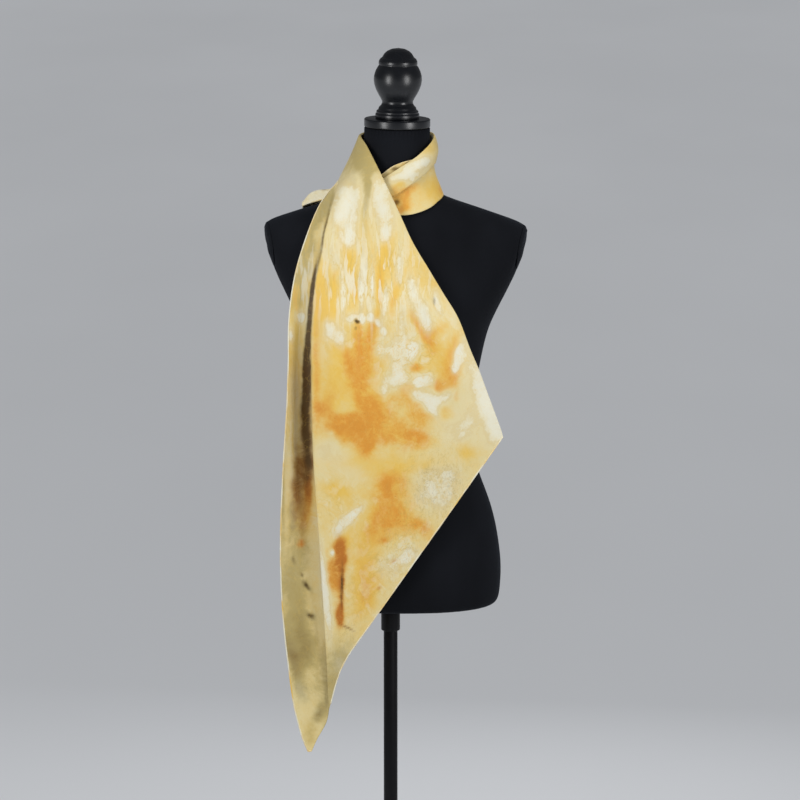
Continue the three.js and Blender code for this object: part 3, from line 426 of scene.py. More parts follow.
class ScarfSilkSettings(bpy.types.PropertyGroup):
    """Sizes and dye colours of the silk; the rust, brown and olive also colour painted shade, and the cream and gold a
    patch of painted light.
    """

    thickness: bpy.props.FloatProperty(
        name="Silk thickness",
        description="Thickness of the cloth with its two faces",
        default=0.6 * MM,
        subtype="DISTANCE",
    )
    fold_radius: bpy.props.FloatProperty(
        name="Fold radius",
        description="How tightly the silk turns over at its folds",
        default=1.9 * MM,
        subtype="DISTANCE",
    )
    hem_radius: bpy.props.FloatProperty(
        name="Hem radius",
        description="Half the width of the rolled hem",
        default=1.05 * MM,
        subtype="DISTANCE",
    )
    stitch_spacing: bpy.props.FloatProperty(
        name="Stitch spacing",
        description="Distance between the hand stitches of the hem",
        default=4.5 * MM,
        subtype="DISTANCE",
    )
    ground: bpy.props.FloatVectorProperty(
        name="Ground",
        description="Pale yellow of the silk where little dye took",
        subtype="COLOR",
        default=(0.76, 0.64, 0.33),
    )
    # The bound-place cream also paints light, with the gold, where the side fold turns into shade.
    resist: bpy.props.FloatVectorProperty(
        name="Bound places",
        description="Palest cream, where the cloth was bound and took no dye",
        subtype="COLOR",
        default=(0.80, 0.765, 0.60),
    )
    gold: bpy.props.FloatVectorProperty(
        name="Gold",
        description="Yellow-gold dye",
        subtype="COLOR",
        default=(0.80, 0.53, 0.105),
    )
    orange: bpy.props.FloatVectorProperty(
        name="Orange",
        description="Orange dye",
        subtype="COLOR",
        default=(0.74, 0.325, 0.042),
    )
    # The rust also tints the painted shade in the valley and in the pleat.
    rust: bpy.props.FloatVectorProperty(
        name="Rust",
        description="Rust where the orange pooled",
        subtype="COLOR",
        default=(0.5, 0.17, 0.02),
    )
    # The brown also paints shade: in the valley and the pleat beside the fall's left fold, in the pockets of the band
    # and under the roll, and where the end passes behind the side fold.
    brown: bpy.props.FloatVectorProperty(
        name="Brown",
        description="Dark brown in the valley and in a few specks",
        subtype="COLOR",
        default=(0.075, 0.042, 0.01),
    )
    # The olive also paints shade, darkening the fall and the side fold towards the lower tip and the roll's top at its
    # right side.
    olive: bpy.props.FloatVectorProperty(
        name="Olive",
        description="Dull olive gold",
        subtype="COLOR",
        default=(0.42, 0.335, 0.13),
    )


class ScarfFormSettings(bpy.types.PropertyGroup):
    """Colours of the dress form and its stand."""

    velvet: bpy.props.FloatVectorProperty(
        name="Velvet",
        description="Colour of the velvet cover",
        subtype="COLOR",
        default=(0.0045, 0.0050, 0.0066),
    )
    velvet_sheen: bpy.props.FloatVectorProperty(
        name="Pile sheen",
        description="Tint of the light that the pile catches at a glancing angle",
        subtype="COLOR",
        default=(0.30, 0.36, 0.48),
    )
    lacquer: bpy.props.FloatVectorProperty(
        name="Lacquer",
        description="Black lacquer of the turned neck piece",
        subtype="COLOR",
        default=(0.0035, 0.0042, 0.006),
    )
    steel: bpy.props.FloatVectorProperty(
        name="Powder coat",
        description="Coating of the pole and the base",
        subtype="COLOR",
        default=(0.003, 0.003, 0.004),
    )


class ScarfStageSettings(bpy.types.PropertyGroup):
    """Camera, lights and floor."""

    lens: bpy.props.FloatProperty(
        name="Lens",
        description="Focal length of the camera",
        default=180.0,
        min=20.0,
        unit="CAMERA",
    )
    distance: bpy.props.FloatProperty(
        name="Camera distance",
        description="From the camera to the point that it looks at",
        default=6.0,
        unit="LENGTH",
    )
    elevation: bpy.props.FloatProperty(
        name="Camera elevation",
        description="How far the camera looks down",
        default=math.radians(10.5),
        subtype="ANGLE",
    )
    target: bpy.props.FloatVectorProperty(
        name="Camera target",
        description="The point that the camera looks at",
        default=(0.01425, 0.0, 1.1026),
        subtype="XYZ",
    )
    floor: bpy.props.FloatVectorProperty(
        name="Floor",
        description="Colour of the pale floor",
        subtype="COLOR",
        default=(0.66, 0.675, 0.70),
    )
    softbox_power: bpy.props.FloatProperty(
        name="Softbox power",
        description="Power of each tall softbox",
        default=14.5,
    )
    ceiling: bpy.props.FloatProperty(
        name="Light from above",
        description="Strength of the broad soft light from above and in front",
        default=1.65,
    )
    surround: bpy.props.FloatProperty(
        name="Surround",
        description="Strength of the even pale light from all sides",
        default=0.12,
    )


def settings(group):
    """The scene's values of one property group."""
    return getattr(bpy.context.scene, group)


def smooth_step(low, high, value):
    """0 below low, 1 above high and a smooth ramp between them; low may be the higher one."""
    share = np.clip((np.asarray(value, float) - low) / (high - low), 0, 1)
    return share * share * (3 - 2 * share)


def column(rows, key, name, values):
    """A smooth value of one column of a table at each of the values of another column."""
    knots = np.array([getattr(row, key) for row in rows], float)
    heights = np.array([getattr(row, name) for row in rows], float)
    values = np.clip(np.asarray(values, float), knots[0], knots[-1])
    i = np.clip(np.searchsorted(knots, values, side="right") - 1, 0, len(knots) - 2)
    step = knots[i + 1] - knots[i]
    share = (values - knots[i]) / step
    before = np.maximum(i - 1, 0)
    after = np.minimum(i + 2, len(knots) - 1)
    slope_in = (heights[i + 1] - heights[before]) / (knots[i + 1] - knots[before]) * step
    slope_out = (heights[after] - heights[i]) / (knots[after] - knots[i]) * step
    s2, s3 = share**2, share**3
    return (
        (2 * s3 - 3 * s2 + 1) * heights[i]
        + (s3 - 2 * s2 + share) * slope_in
        + (3 * s2 - 2 * s3) * heights[i + 1]
        + (s3 - s2) * slope_out
    )


def curve_at(points, shares):
    """Points of a smooth curve through points, an array n x ... x 3, at shares of its length in steps."""
    points = np.asarray(points, float)
    place = np.clip(np.asarray(shares, float), 0, 1) * (len(points) - 1)
    i = np.clip(place.astype(int), 0, len(points) - 2)
    padded = np.concatenate([2 * points[:1] - points[1:2], points, 2 * points[-1:] - points[-2:-1]])
    p0, p1, p2, p3 = (padded[i + k] for k in range(4))
    weight = (place - i).reshape((-1,) + (1,) * (points.ndim - 1))

    def root(a, b):
        return np.maximum(np.sum((a - b) ** 2, axis=-1, keepdims=True) ** 0.25, 1e-6)

    d0, d1, d2 = root(p0, p1), root(p1, p2), root(p2, p3)
    t1 = ((p1 - p0) / d0 - (p2 - p0) / (d0 + d1) + (p2 - p1) / d1) * d1
    t2 = ((p2 - p1) / d1 - (p3 - p1) / (d1 + d2) + (p3 - p2) / d2) * d1
    c2 = -3 * p1 + 3 * p2 - 2 * t1 - t2
    c3 = 2 * p1 - 2 * p2 + t1 + t2
    return p1 + weight * (t1 + weight * (c2 + weight * c3))


def unit(vectors):
    """The vectors at length 1."""
    return vectors / np.maximum(np.linalg.norm(vectors, axis=-1, keepdims=True), 1e-9)


def named_line(rows, prefix):
    """The points of a table's columns prefix_x, prefix_y and prefix_z, in metres."""
    return MM * np.array([[getattr(row, f"{prefix}_{axis}") for axis in "xyz"] for row in rows], float)


def grid_normals(grid):
    """Unit normals of a grid rows x columns x 3, as its columns turn towards its rows."""
    return unit(np.cross(np.gradient(grid, axis=1), np.gradient(grid, axis=0)))


def ripple(grid, size, seed, stretch=(1, 1, 1)):
    """Smooth noise from -1 to 1 at each point of a grid, with waves of about the given size."""
    scaled = (grid * np.array(stretch) / size + seed).reshape(-1, 3)
    return np.array([noise.noise(Vector(p)) for p in scaled]).reshape(grid.shape[:-1])


def round_neck(turn, radius, height):
    """Points at a turn, radius and height in millimetres round the leaning neck, in metres."""
    angle = np.radians(turn)
    centre = (height * MM - FORM_FOOT) * math.tan(FORM_LEAN) / MM
    return MM * np.stack([centre + radius * np.sin(angle), -radius * np.cos(angle), height + 0 * angle], -1)


def panel_points(across, down):
    """The fall at shares of its width and of its length, arrays of one shape, in metres."""
    shape = across.shape
    u, v = across.ravel(), down.ravel()
    ridge = curve_at(named_line(PANEL, "ridge"), v)
    edge = curve_at(named_line(PANEL, "edge"), v)
    points = ridge + (edge - ridge) * u[:, None]
    Station = namedtuple("Station", "place bulge")
    stations = [Station(i / (len(PANEL) - 1), row.bulge) for i, row in enumerate(PANEL)]
    rise = column(stations, "place", "bulge", v) * (1 - (2 * u - 1) ** 4)
    for fold in PANEL_FOLDS:
        length = np.clip((v - fold.start) / (fold.end - fold.start), 0, 1)
        rise += fold.rise * np.exp(-(((u - fold.at) / fold.width) ** 2)) * np.sin(np.pi * length) ** 2
    points[:, 1] -= rise * MM
    reached = 0.5 + 0.5 * np.tanh((u - HEM_BEND_SHARE / 2) / HEM_BEND_WIDTH)
    start = 0.5 + 0.5 * math.tanh(-HEM_BEND_SHARE / 2 / HEM_BEND_WIDTH)
    bend = HEM_BEND_RISE * (reached - start) * (1 - u) / (1 - start)
    points[:, 2] += bend * v**HEM_FADE_POWER * MM
    return points.reshape(shape + (3,))


def mesh_object(name, vertices, faces, smooth=True):
    """A linked object at the origin with the given mesh."""
    mesh = bpy.data.meshes.new(name)
    mesh.from_pydata([tuple(v) for v in vertices], [], [tuple(f) for f in faces])
    mesh.update()
    mesh.polygons.foreach_set("use_smooth", [smooth] * len(mesh.polygons))
    made = bpy.data.objects.new(name, mesh)
    bpy.context.scene.collection.objects.link(made)
    return made


def finish_piece(piece, material, slot, *nodes):
    """Gives a piece its material, hides the nodes that it stands for and hangs it under its body; the slot is not
    used.
    """
    piece.data.materials.clear()
    piece.data.materials.append(material)
    if nodes:
        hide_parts(*nodes)
    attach(piece, "root")
    return piece


def pool_strength(x, z, wander, pools, dyes):
    """How much of each dye, and of the painted shade and light, the pools leave at each place, in millimetres, with
    soft wandering borders.
    """
    total = {dye: np.zeros_like(x) for dye in dyes}
    for pool in pools:
        loose = np.clip(min(pool.half_x, pool.half_z) / 22, 0.06, 1)
        angle = math.radians(pool.tilt)
        right, rise = x - pool.x + wander[0] * loose, z - pool.z + wander[1] * loose
        along = (right * math.cos(angle) + rise * math.sin(angle)) / pool.half_x
        up = (rise * math.cos(angle) - right * math.sin(angle)) / pool.half_z
        share = np.exp(-1.3 * (along**2 + up**2))
        for dye in dyes:
            total[dye] += getattr(pool, dye) * share
    return total


def add_dyes_and_shade(mesh, grid, pools, x, z):
    """Stores the strength of each dye, with the painted shade and light that they carry, and of each kind of mark at
    the points of a grid.
    """
    wander = [
        10 * ripple(grid, 0.05, 3.1) + 6 * ripple(grid, 0.018, 8.7) + 2.5 * ripple(grid, 0.007, 4.5),
        12 * ripple(grid, 0.055, 5.3) + 8 * ripple(grid, 0.02, 1.9) + 3 * ripple(grid, 0.007, 2.4),
    ]
    amounts = pool_strength(x, z, wander, pools, DYES_AND_SHADE)
    for dye in ("orange", "rust"):
        level = amounts[dye]
        amounts[dye] = np.where(level > 0.6, 0.6 + 0.4 * np.tanh((level - 0.6) / 0.4), level)
    amounts.update(pool_strength(grid[..., 0] / MM, grid[..., 2] / MM, wander, MARKS, KINDS))
    for dye, amount in amounts.items():
        attribute = mesh.attributes.new(dye, "FLOAT", "POINT")
        attribute.data.foreach_set("value", amount.ravel().astype(np.float32))


def paint_crease_shade(mesh, grid, columns=12):
    """Paints shade into the pleat behind the left fold of the fall, as brown and rust, strongest above 1 m."""
    pleat = grid[:, :columns]
    z = pleat[..., 2]
    uneven = 0.85 + 0.3 * ripple(pleat, 0.03, 6.6)
    # Painted shade: darker between 0.70 m and 1.30 m in the pleat.
    crease_shade = uneven * smooth_step(1.37, 1.30, z) * smooth_step(0.64, 0.70, z)
    crease_shade *= 0.4 + 0.8 * smooth_step(0.94, 1.06, z)
    for dye, most in (("brown", 1.0), ("rust", 0.5)):
        strength = np.zeros(grid.shape[0] * grid.shape[1], np.float32)
        mesh.attributes[dye].data.foreach_get("value", strength)
        strength = strength.reshape(grid.shape[:2])
        strength[:, :columns] = np.maximum(strength[:, :columns], most * crease_shade)
        mesh.attributes[dye].data.foreach_set("value", strength.ravel())


def cloth_piece(name, grid, pools, x=None, z=None):
    """A closed piece of silk over a grid of its middle, with a map in metres and its dyes and painted shade."""
    rows, columns = grid.shape[:2]
    index = np.arange(rows * columns).reshape(rows, columns)
    faces = np.stack([index[:-1, :-1], index[1:, :-1], index[1:, 1:], index[:-1, 1:]], -1).reshape(-1, 4)
    piece = mesh_object(name, grid.reshape(-1, 3), faces)
    across = np.cumsum(np.linalg.norm(np.diff(grid, axis=1, prepend=grid[:, :1]), axis=2), axis=1)
    down = np.cumsum(np.linalg.norm(np.diff(grid, axis=0, prepend=grid[:1]), axis=2), axis=0)
    corner = np.zeros(len(piece.data.loops), int)
    piece.data.loops.foreach_get("vertex_index", corner)
    flat = np.stack([across.ravel()[corner], down.ravel()[corner]], -1)
    piece.data.uv_layers.new(name="cloth").data.foreach_set("uv", flat.ravel())
    x = grid[..., 0] / MM if x is None else x
    z = grid[..., 2] / MM if z is None else z
    add_dyes_and_shade(piece.data, grid, pools, x, z)
    wall = piece.modifiers.new("Two faces", "SOLIDIFY")
    wall.thickness = settings("scarf_silk").thickness
    wall.offset = 0.0
    wall.use_even_offset = False
    return piece


def grid_frames(edge, inside, normal):
    """Unit directions along an edge's rows into the cloth, and out of its face."""
    into = unit(inside - edge)
    out = normal - into * np.sum(normal * into, axis=-1, keepdims=True)
    return into, unit(out)


def turned_over(centre, into, out, radius, steps, reach=math.pi):
    """Rows of a half turn about centre, from the outer face round the fold to the inner one."""
    angles = np.linspace(0, reach, steps)
    return np.stack(
        [centre + radius * (out * math.cos(a) - into * math.sin(a)) for a in angles],
        axis=1,
    )


def side_points(across, down):
    """The side fold at shares of its width and of its length."""
    shape = across.shape
    u, v = across.ravel(), down.ravel()
    hem = curve_at(named_line(SIDE, "hem"), v)
    inner = curve_at(named_line(SIDE, "inner"), v)
    points = hem + (inner - hem) * u[:, None]
    Station = namedtuple("Station", "place valley")
    stations = [Station(i / (len(SIDE) - 1), row.valley) for i, row in enumerate(SIDE)]
    points[:, 1] += column(stations, "place", "valley", v) * np.sin(np.pi * u) * MM
    return points.reshape(shape + (3,))


def shares(rows, columns, low=0.0, high=1.0):
    """Shares across and down for a grid of rows x columns."""
    return np.meshgrid(np.linspace(0, 1, columns), np.linspace(low, high, rows))


def side_grid(rows=300, columns=56):
    """The middle of the side fold, with fine ripples, and its turn at the inner side."""
    u, v = shares(rows, columns)
    grid = side_points(u, v)
    z = grid[..., 2]
    amount = smooth_step(1.40, 1.33, z) * np.sin(np.pi * np.clip(u, 0, 1)) ** 0.5
    wave = ripple(grid, 0.05, 2.2, (1, 1, 0.16)) * 1.6 + ripple(grid, 0.016, 6.4, (1, 1, 0.4)) * 0.35
    grid += grid_normals(grid) * (amount * wave * MM)[..., None]
    radius = settings("scarf_silk").fold_radius * smooth_step(1.40, 1.35, z[:, -1]) * smooth_step(0.67, 0.71, z[:, -1])
    radius = np.maximum(radius, 0.02 * MM)[:, None]
    normal = grid_normals(grid)[:, -1]
    outward = normal * np.where(normal[:, 1:2] > 0, -1, 1)
    into, out = grid_frames(grid[:, -1], grid[:, -2], outward)
    centre = grid[:, -1] + out * radius
    turn = turned_over(centre, into, -out, radius, 7)
    return np.concatenate([grid, turn[:, 1:]], axis=1)


def fall_grid(side, rows=340, columns=108):
    """The middle of the front fall from its hidden pleat over both folds."""
    silk = settings("scarf_silk")
    u, v = shares(rows, columns)
    edge_left = panel_points(np.zeros(rows), v[:, 0])
    edge_right = panel_points(np.ones(rows), v[:, 0])
    width = np.linalg.norm(edge_right - edge_left, axis=1)[:, None]
    left_radius = silk.fold_radius * smooth_step(0.0, 0.05, v[:, :1]) * smooth_step(1.0, 0.93, v[:, :1]) + 0.02 * MM
    right_radius = silk.fold_radius * smooth_step(0.0, 0.05, v[:, :1]) * smooth_step(0.99, 0.93, v[:, :1]) + 0.02 * MM
    first = left_radius / width
    last = 1 - right_radius / width
    grid = panel_points(first + (last - first) * u, v)
    rim = np.sin(np.pi * u) ** 0.6 * smooth_step(0.06, 0.2, v)
    wave = ripple(grid, 0.075, 4.4, (1, 1, 0.35)) * 1.5 + ripple(grid, 0.022, 9.2, (1, 1, 0.5)) * 0.3
    grid += grid_normals(grid) * (rim * wave * MM)[..., None]
    normal = grid_normals(grid)
    facing = np.where(normal[rows // 2, columns // 2, 1] > 0, -1, 1)
    into, out = grid_frames(grid[:, 0], grid[:, 2], normal[:, 0] * facing)
    centre = grid[:, 0] - out * left_radius
    left = turned_over(centre, into, out, left_radius, 9)[:, 1:]
    back = left[:, -1]
    depth = np.interp(-back[:, 2], -side[:, -1, 2], np.arange(len(side)))
    low = np.clip(depth.astype(int), 0, len(side) - 2)
    target = side[low, -1] + (side[low + 1, -1] - side[low, -1]) * (depth - low)[:, None]
    open_share = smooth_step(1.40, 1.33, back[:, 2]) * smooth_step(0.675, 0.73, back[:, 2])
    end = back + into * 4 * MM + (target - back - into * 4 * MM) * open_share[:, None]
    pleat = back[:, None] + (end - back)[:, None] * np.linspace(0, 1, 9)[None, 1:, None]
    into_right, out_right = grid_frames(grid[:, -1], grid[:, -3], normal[:, -1] * facing)
    centre = grid[:, -1] - out_right * right_radius
    right = turned_over(centre, into_right, out_right, right_radius, 9)[:, 1:]
    return np.concatenate([pleat[:, ::-1], left[:, ::-1], grid, right], axis=1)


def return_grid(rows=230, columns=22):
    """The strip turned back behind the right fold."""
    radius = settings("scarf_silk").fold_radius
    u, v = shares(rows, columns)
    foot = RETURN_END - RETURN_SLANT * u
    down = RETURN_START + (foot - RETURN_START) * v
    top = panel_points(1 - RETURN_SHARE * u, down)
    normal = grid_normals(top)
    backward = normal * np.where(normal[rows // 2, columns // 2, 1] > 0, 1, -1)
    return top + backward * (2 * radius * smooth_step(0.995, 0.93, down))[..., None]


def neck_grid(table, tucked, rows, columns):
    """A stretch round the neck, tucked in a little at its hidden end."""
    u, v = shares(rows, columns)
    turn = np.linspace(table[0].turn, table[-1].turn + JOIN_OVERLAP, rows)
    at = {name: column(table, "turn", name, turn) for name in table[0]._fields}
    for level in ("low", "mid", "top"):
        at[f"{level}_r"] = at[f"{level}_r"] - JOIN_INSET * smooth_step(JOIN_TURN - 1.5, JOIN_TURN + 1.5, turn)
    levels = [round_neck(turn, at[f"{level}_r"], at[f"{level}_z"]) for level in ("low", "mid", "top")]
    levels += [round_neck(turn, at["top_r"] - step.inset, at["top_z"] - step.drop) for step in tucked]
    return curve_at(np.stack(levels), np.linspace(0, 1, columns)).transpose(1, 0, 2)


def neck_places(grid):
    """The turn in degrees and the height in millimetres of each point round the neck."""
    centre = (grid[..., 2] - FORM_FOOT) * math.tan(FORM_LEAN)
    turn = np.degrees(np.arctan2(grid[..., 0] - centre, -grid[..., 1]))
    return np.where(turn < -60, turn + 360, turn), grid[..., 2] / MM


def band_grid():
    """The lower band round the neck, with soft slanting gathers."""
    grid = neck_grid(BAND, [], 230, 44)
    turn, height = neck_places(grid)
    away = grid_normals(grid)
    away *= np.where(np.sum(away * (grid - grid.mean(axis=(0, 1))), axis=-1, keepdims=True) > 0, 1, -1)
    wave = np.sin(np.radians((turn * 1.0 + height * 1.1) * 7)) * 0.35 + ripple(grid, 0.03, 1.3) * 0.9
    edge = np.sin(np.pi * np.linspace(0, 1, grid.shape[1])) ** 0.7
    return grid + away * (wave * edge * MM)[..., None]


def roll_grid():
    """The turned-over roll above the band."""
    grid = neck_grid(ROLL, ROLL_TUCK, 230, 60)
    away = grid_normals(grid)
    away *= np.where(np.sum(away[:, :30] * (grid - grid.mean(axis=(0, 1)))[:, :30]) > 0, 1, -1)
    edge = np.clip(np.sin(np.pi * np.linspace(0, 1.6, grid.shape[1])), 0, 1)
    return grid + away * (ripple(grid, 0.028, 7.7, (1, 1, 1.6)) * 0.5 * edge * MM)[..., None]


def inner_grid():
    """The inner turn, with a slightly wavy top hem."""
    u, v = shares(90, 14)
    turn = INNER[0].turn + (INNER[-1].turn - INNER[0].turn) * v
    radius = column(INNER, "turn", "radius", turn)
    top = column(INNER, "turn", "top_z", turn)
    return round_neck(turn, radius + 0.3 * np.sin(np.radians(turn * 9)) * (1 - u), top - u * INNER_HEIGHT)


def tail_grid():
    """The end over the shoulder."""
    u, v = shares(110, 60)
    reach = np.linspace(TAIL[0].reach, TAIL[-1].reach, 60)
    lines = []
    for place in ("front", "top", "back", "hem"):
        y = column(TAIL, "reach", f"{place}_y", reach)
        z = column(TAIL, "reach", f"{place}_z", reach)
        lines.append(MM * np.stack([-reach, y, z], -1))
    return curve_at(np.stack(lines), v[:, 0])


def link(tree, source, target):
    """Links an output socket to an input socket."""
    tree.links.new(source, target)


def shader_node(tree, kind, inputs=None, **facts):
    """A node with its settings, its input values and its input links."""
    made = tree.nodes.new(kind)
    for name, value in facts.items():
        setattr(made, name, value)
    for name, value in (inputs or {}).items():
        socket = made.inputs[name]
        if isinstance(value, bpy.types.NodeSocket):
            link(tree, value, socket)
        else:
            socket.default_value = value
    return made


def new_material(name):
    """An empty node material, with its Principled node and its tree."""
    material = bpy.data.materials.new(name)
    material.use_nodes = True
    return material, material.node_tree, material.node_tree.nodes["Principled BSDF"]


def clouds(tree, vector, scale, detail=3.0, roughness=0.55, stretch=(1, 1, 1), shift=(0, 0, 0), lean=0.0):
    """Fractal noise from 0 to 1 on a position that is leaned in the front plane, stretched and shifted."""
    leaned = shader_node(tree, "ShaderNodeMapping", {"Vector": vector, "Rotation": (0, math.radians(lean), 0)})
    place = shader_node(
        tree, "ShaderNodeMapping", {"Vector": leaned.outputs[0], "Scale": stretch, "Location": shift}
    )
    return shader_node(
        tree,
        "ShaderNodeTexNoise",
        {"Vector": place.outputs[0], "Scale": scale, "Detail": detail, "Roughness": roughness},
    ).outputs["Fac"]


def arithmetic(tree, operation, first, second=0.0, clamp=False):
    """A math node's output."""
    made = shader_node(tree, "ShaderNodeMath", {0: first, 1: second}, operation=operation, use_clamp=clamp)
    return made.outputs[0]


def ramp(tree, value, low, high, to_low=0.0, to_high=1.0):
    """A smooth step of a value from low to high."""
    made = shader_node(
        tree,
        "ShaderNodeMapRange",
        {"Value": value, "From Min": low, "From Max": high, "To Min": to_low, "To Max": to_high},
        interpolation_type="SMOOTHSTEP",
    )
    return made.outputs["Result"]


def blended(tree, share, first, second, mode="MIX"):
    """Two colours mixed by a share."""
    made = shader_node(tree, "ShaderNodeMix", {0: share}, data_type="RGBA", blend_type=mode)
    for socket, value in ((made.inputs[6], first), (made.inputs[7], second)):
        if isinstance(value, bpy.types.NodeSocket):
            link(tree, value, socket)
        else:
            socket.default_value = (*value, 1)
    return made.outputs[2]


def dyed_silk():
    """Silk with poured dyes: cloudy pools, pale bound places, fingers, petals, crackle and a satin face; its brown,
    rust and olive also carry painted shade.
    """
    silk = settings("scarf_silk")
    material, tree, surface = new_material("dyed_silk")
    place = shader_node(tree, "ShaderNodeTexCoord").outputs["Object"]
    cloth = shader_node(tree, "ShaderNodeUVMap", uv_map="cloth").outputs[0]
    dye = {
        name: shader_node(tree, "ShaderNodeAttribute", attribute_name=name).outputs["Fac"]
        for name in (*DYES_AND_SHADE, *KINDS)
    }

    def warped(vector, scale, size, detail=3.0):
        swirl = shader_node(tree, "ShaderNodeTexNoise", {"Vector": vector, "Scale": scale, "Detail": detail})
        offset = shader_node(
            tree, "ShaderNodeVectorMath", {0: swirl.outputs["Color"], 1: (0.5, 0.5, 0.5)}, operation="SUBTRACT"
        )
        sized = shader_node(tree, "ShaderNodeVectorMath", {0: offset.outputs[0], "Scale": size}, operation="SCALE")
        return shader_node(tree, "ShaderNodeVectorMath", {0: vector, 1: sized.outputs[0]}).outputs[0]

    def product(first, second):
        return arithmetic(tree, "MULTIPLY", first, second)

    def layer(colour, share, dye_colour, most=1.0):
        share = arithmetic(tree, "MULTIPLY", share, most, clamp=True)
        return blended(tree, share, colour, tuple(dye_colour))

    marbled = warped(warped(place, 9.0, 0.06), 34.0, 0.022)
    drawn = warped(place, 22.0, 0.009)
    broad = ramp(tree, clouds(tree, marbled, 17, 6, 0.6), 0.3, 0.7)
    middle = ramp(tree, clouds(tree, marbled, 62, 6, 0.68, shift=(3, 1, 7)), 0.3, 0.7)
    fine = ramp(tree, clouds(tree, drawn, 260, 4, 0.7, shift=(5, 2, 1)), 0.3, 0.7)
    streaks = ramp(tree, clouds(tree, drawn, 64, 5, 0.62, stretch=(2.0, 1, 0.17)), 0.34, 0.66)
    mottle = arithmetic(tree, "ADD", product(broad, 0.5), product(middle, 0.5))

    def dose(name, soft=0.45, deep=1.1, low=0.0, high=1.0, pattern=mottle):
        share = arithmetic(tree, "ADD", product(pattern, deep), soft)
        return ramp(tree, product(dye[name], share), low, high)

    def cells(vector, scale, stretch, shift, width):
        value = clouds(tree, vector, scale, 3, 0.5, stretch=stretch, shift=shift)
        rim = arithmetic(tree, "ABSOLUTE", arithmetic(tree, "SUBTRACT", value, 0.52))
        return value, ramp(tree, rim, width, 0.0)

    ochre = tuple(0.6 * a + 0.4 * b for a, b in zip(silk.gold, silk.olive))
    mixed = arithmetic(tree, "ADD", product(mottle, 0.55), product(fine, 0.12))
    golden = arithmetic(tree, "ADD", dye["gold"], product(dye["orange"], 0.4))
    gold = ramp(tree, arithmetic(tree, "ADD", golden, mixed), 0.0, 1.35)
    colour = blended(tree, gold, tuple(silk.ground), tuple(silk.gold))
    # The olive layer also draws painted shade towards the lower tip and on the roll.
    colour = layer(colour, dose("olive", 0.5, 0.9), silk.olive, 0.85)
    round_cell, round_rim = cells(marbled, 42, (1.2, 1, 0.75), (4, 8, 2), 0.02)
    colour = layer(colour, product(dye["petals"], ramp(tree, round_cell, 0.52, 0.62)), silk.resist, 0.7)
    colour = layer(colour, product(dye["petals"], ramp(tree, round_cell, 0.44, 0.34)), silk.gold, 0.6)
    feather = clouds(tree, marbled, 75, 5, 0.62, stretch=(1.5, 1, 0.5), shift=(3, 3, 8), lean=38)
    feathered = arithmetic(tree, "ADD", product(dye["petals"], 0.7), 0.15, clamp=True)
    colour = layer(colour, product(feathered, ramp(tree, feather, 0.53, 0.7)), silk.resist, 0.35)
    colour = layer(colour, product(feathered, ramp(tree, feather, 0.45, 0.3)), silk.gold, 0.6)
    grainy = arithmetic(tree, "ADD", product(mottle, 0.8), product(fine, 0.22))
    colour = layer(colour, dose("orange", 0.3, 1.5, 0.06, 1.2, grainy), silk.orange)

    tall, tall_rim = cells(drawn, 58, (2.2, 1, 0.11), (2, 5, 3), 0.024)
    thin, thin_rim = cells(drawn, 120, (2.3, 1, 0.09), (6, 1, 4), 0.02)
    fingers = dye["fingers"]
    colour = layer(colour, product(fingers, ramp(tree, tall, 0.46, 0.34)), silk.gold, 0.75)
    colour = layer(colour, product(fingers, ramp(tree, tall, 0.38, 0.28)), silk.orange, 0.35)
    colour = layer(colour, product(fingers, ramp(tree, tall, 0.51, 0.6)), silk.resist, 0.85)

    kept = dose("resist", 0.5, 1.0, 0.05, 1.15, grainy)
    rim = product(ramp(tree, kept, 0.12, 0.34), ramp(tree, kept, 0.6, 0.4))
    colour = layer(colour, kept, silk.resist)
    colour = layer(colour, rim, ochre, 0.3)

    vein, vein_rim = cells(marbled, 88, (1.5, 1, 0.55), (5, 3, 6), 0.022)
    colour = layer(colour, product(dye["petals"], ramp(tree, vein, 0.44, 0.3)), silk.gold, 0.5)
    colour = layer(colour, product(dye["petals"], vein_rim), silk.gold, 0.7)
    colour = layer(colour, product(dye["petals"], round_rim), ochre, 0.6)
    colour = layer(colour, product(fingers, tall_rim), ochre, 0.75)
    colour = layer(colour, product(fingers, thin_rim), ochre, 0.45)

    # The rust and brown layers draw painted shade in the valley, the pleat and the pockets, besides dyed specks and
    # patches.
    colour = layer(colour, dose("rust", 0.4, 1.2, 0.05, 1.0), silk.rust)
    colour = layer(colour, dose("brown", 0.75, 0.5, 0.05, 0.85), silk.brown, 0.95)
    grass, grass_rim = cells(drawn, 150, (1.3, 1, 0.5), (1, 6, 2), 0.03)
    web, web_rim = cells(marbled, 58, (1, 1, 1), (7, 2, 9), 0.014)
    dull = tuple(0.55 * a + 0.45 * b for a, b in zip(silk.olive, silk.brown))
    colour = layer(colour, product(dye["crackle"], product(grass_rim, middle)), dull, 0.4)
    colour = layer(colour, product(dye["crackle"], web_rim), dull, 0.26)
    speck = ramp(tree, clouds(tree, place, 300, 2, 0.5, shift=(2, 9, 4)), 0.69, 0.76)
    colour = layer(colour, product(speck, dye["orange"]), silk.rust, 0.55)
    colour = layer(colour, product(fingers, ramp(tree, streaks, 0.35, 0.0)), silk.olive, 0.2)
    colour = layer(colour, web_rim, silk.gold, 0.16)
    link(tree, colour, surface.inputs["Base Color"])
    surface.inputs["Roughness"].default_value = 0.5
    surface.inputs["Sheen Weight"].default_value = 0.15
    surface.inputs["Sheen Roughness"].default_value = 0.4
    surface.inputs["Specular IOR Level"].default_value = 0.3
    slubs = clouds(tree, cloth, 900, 2, 0.5, stretch=(0.25, 1.6, 1))
    threads = clouds(tree, cloth, 2600, 2, 0.5, stretch=(1.3, 0.5, 1))
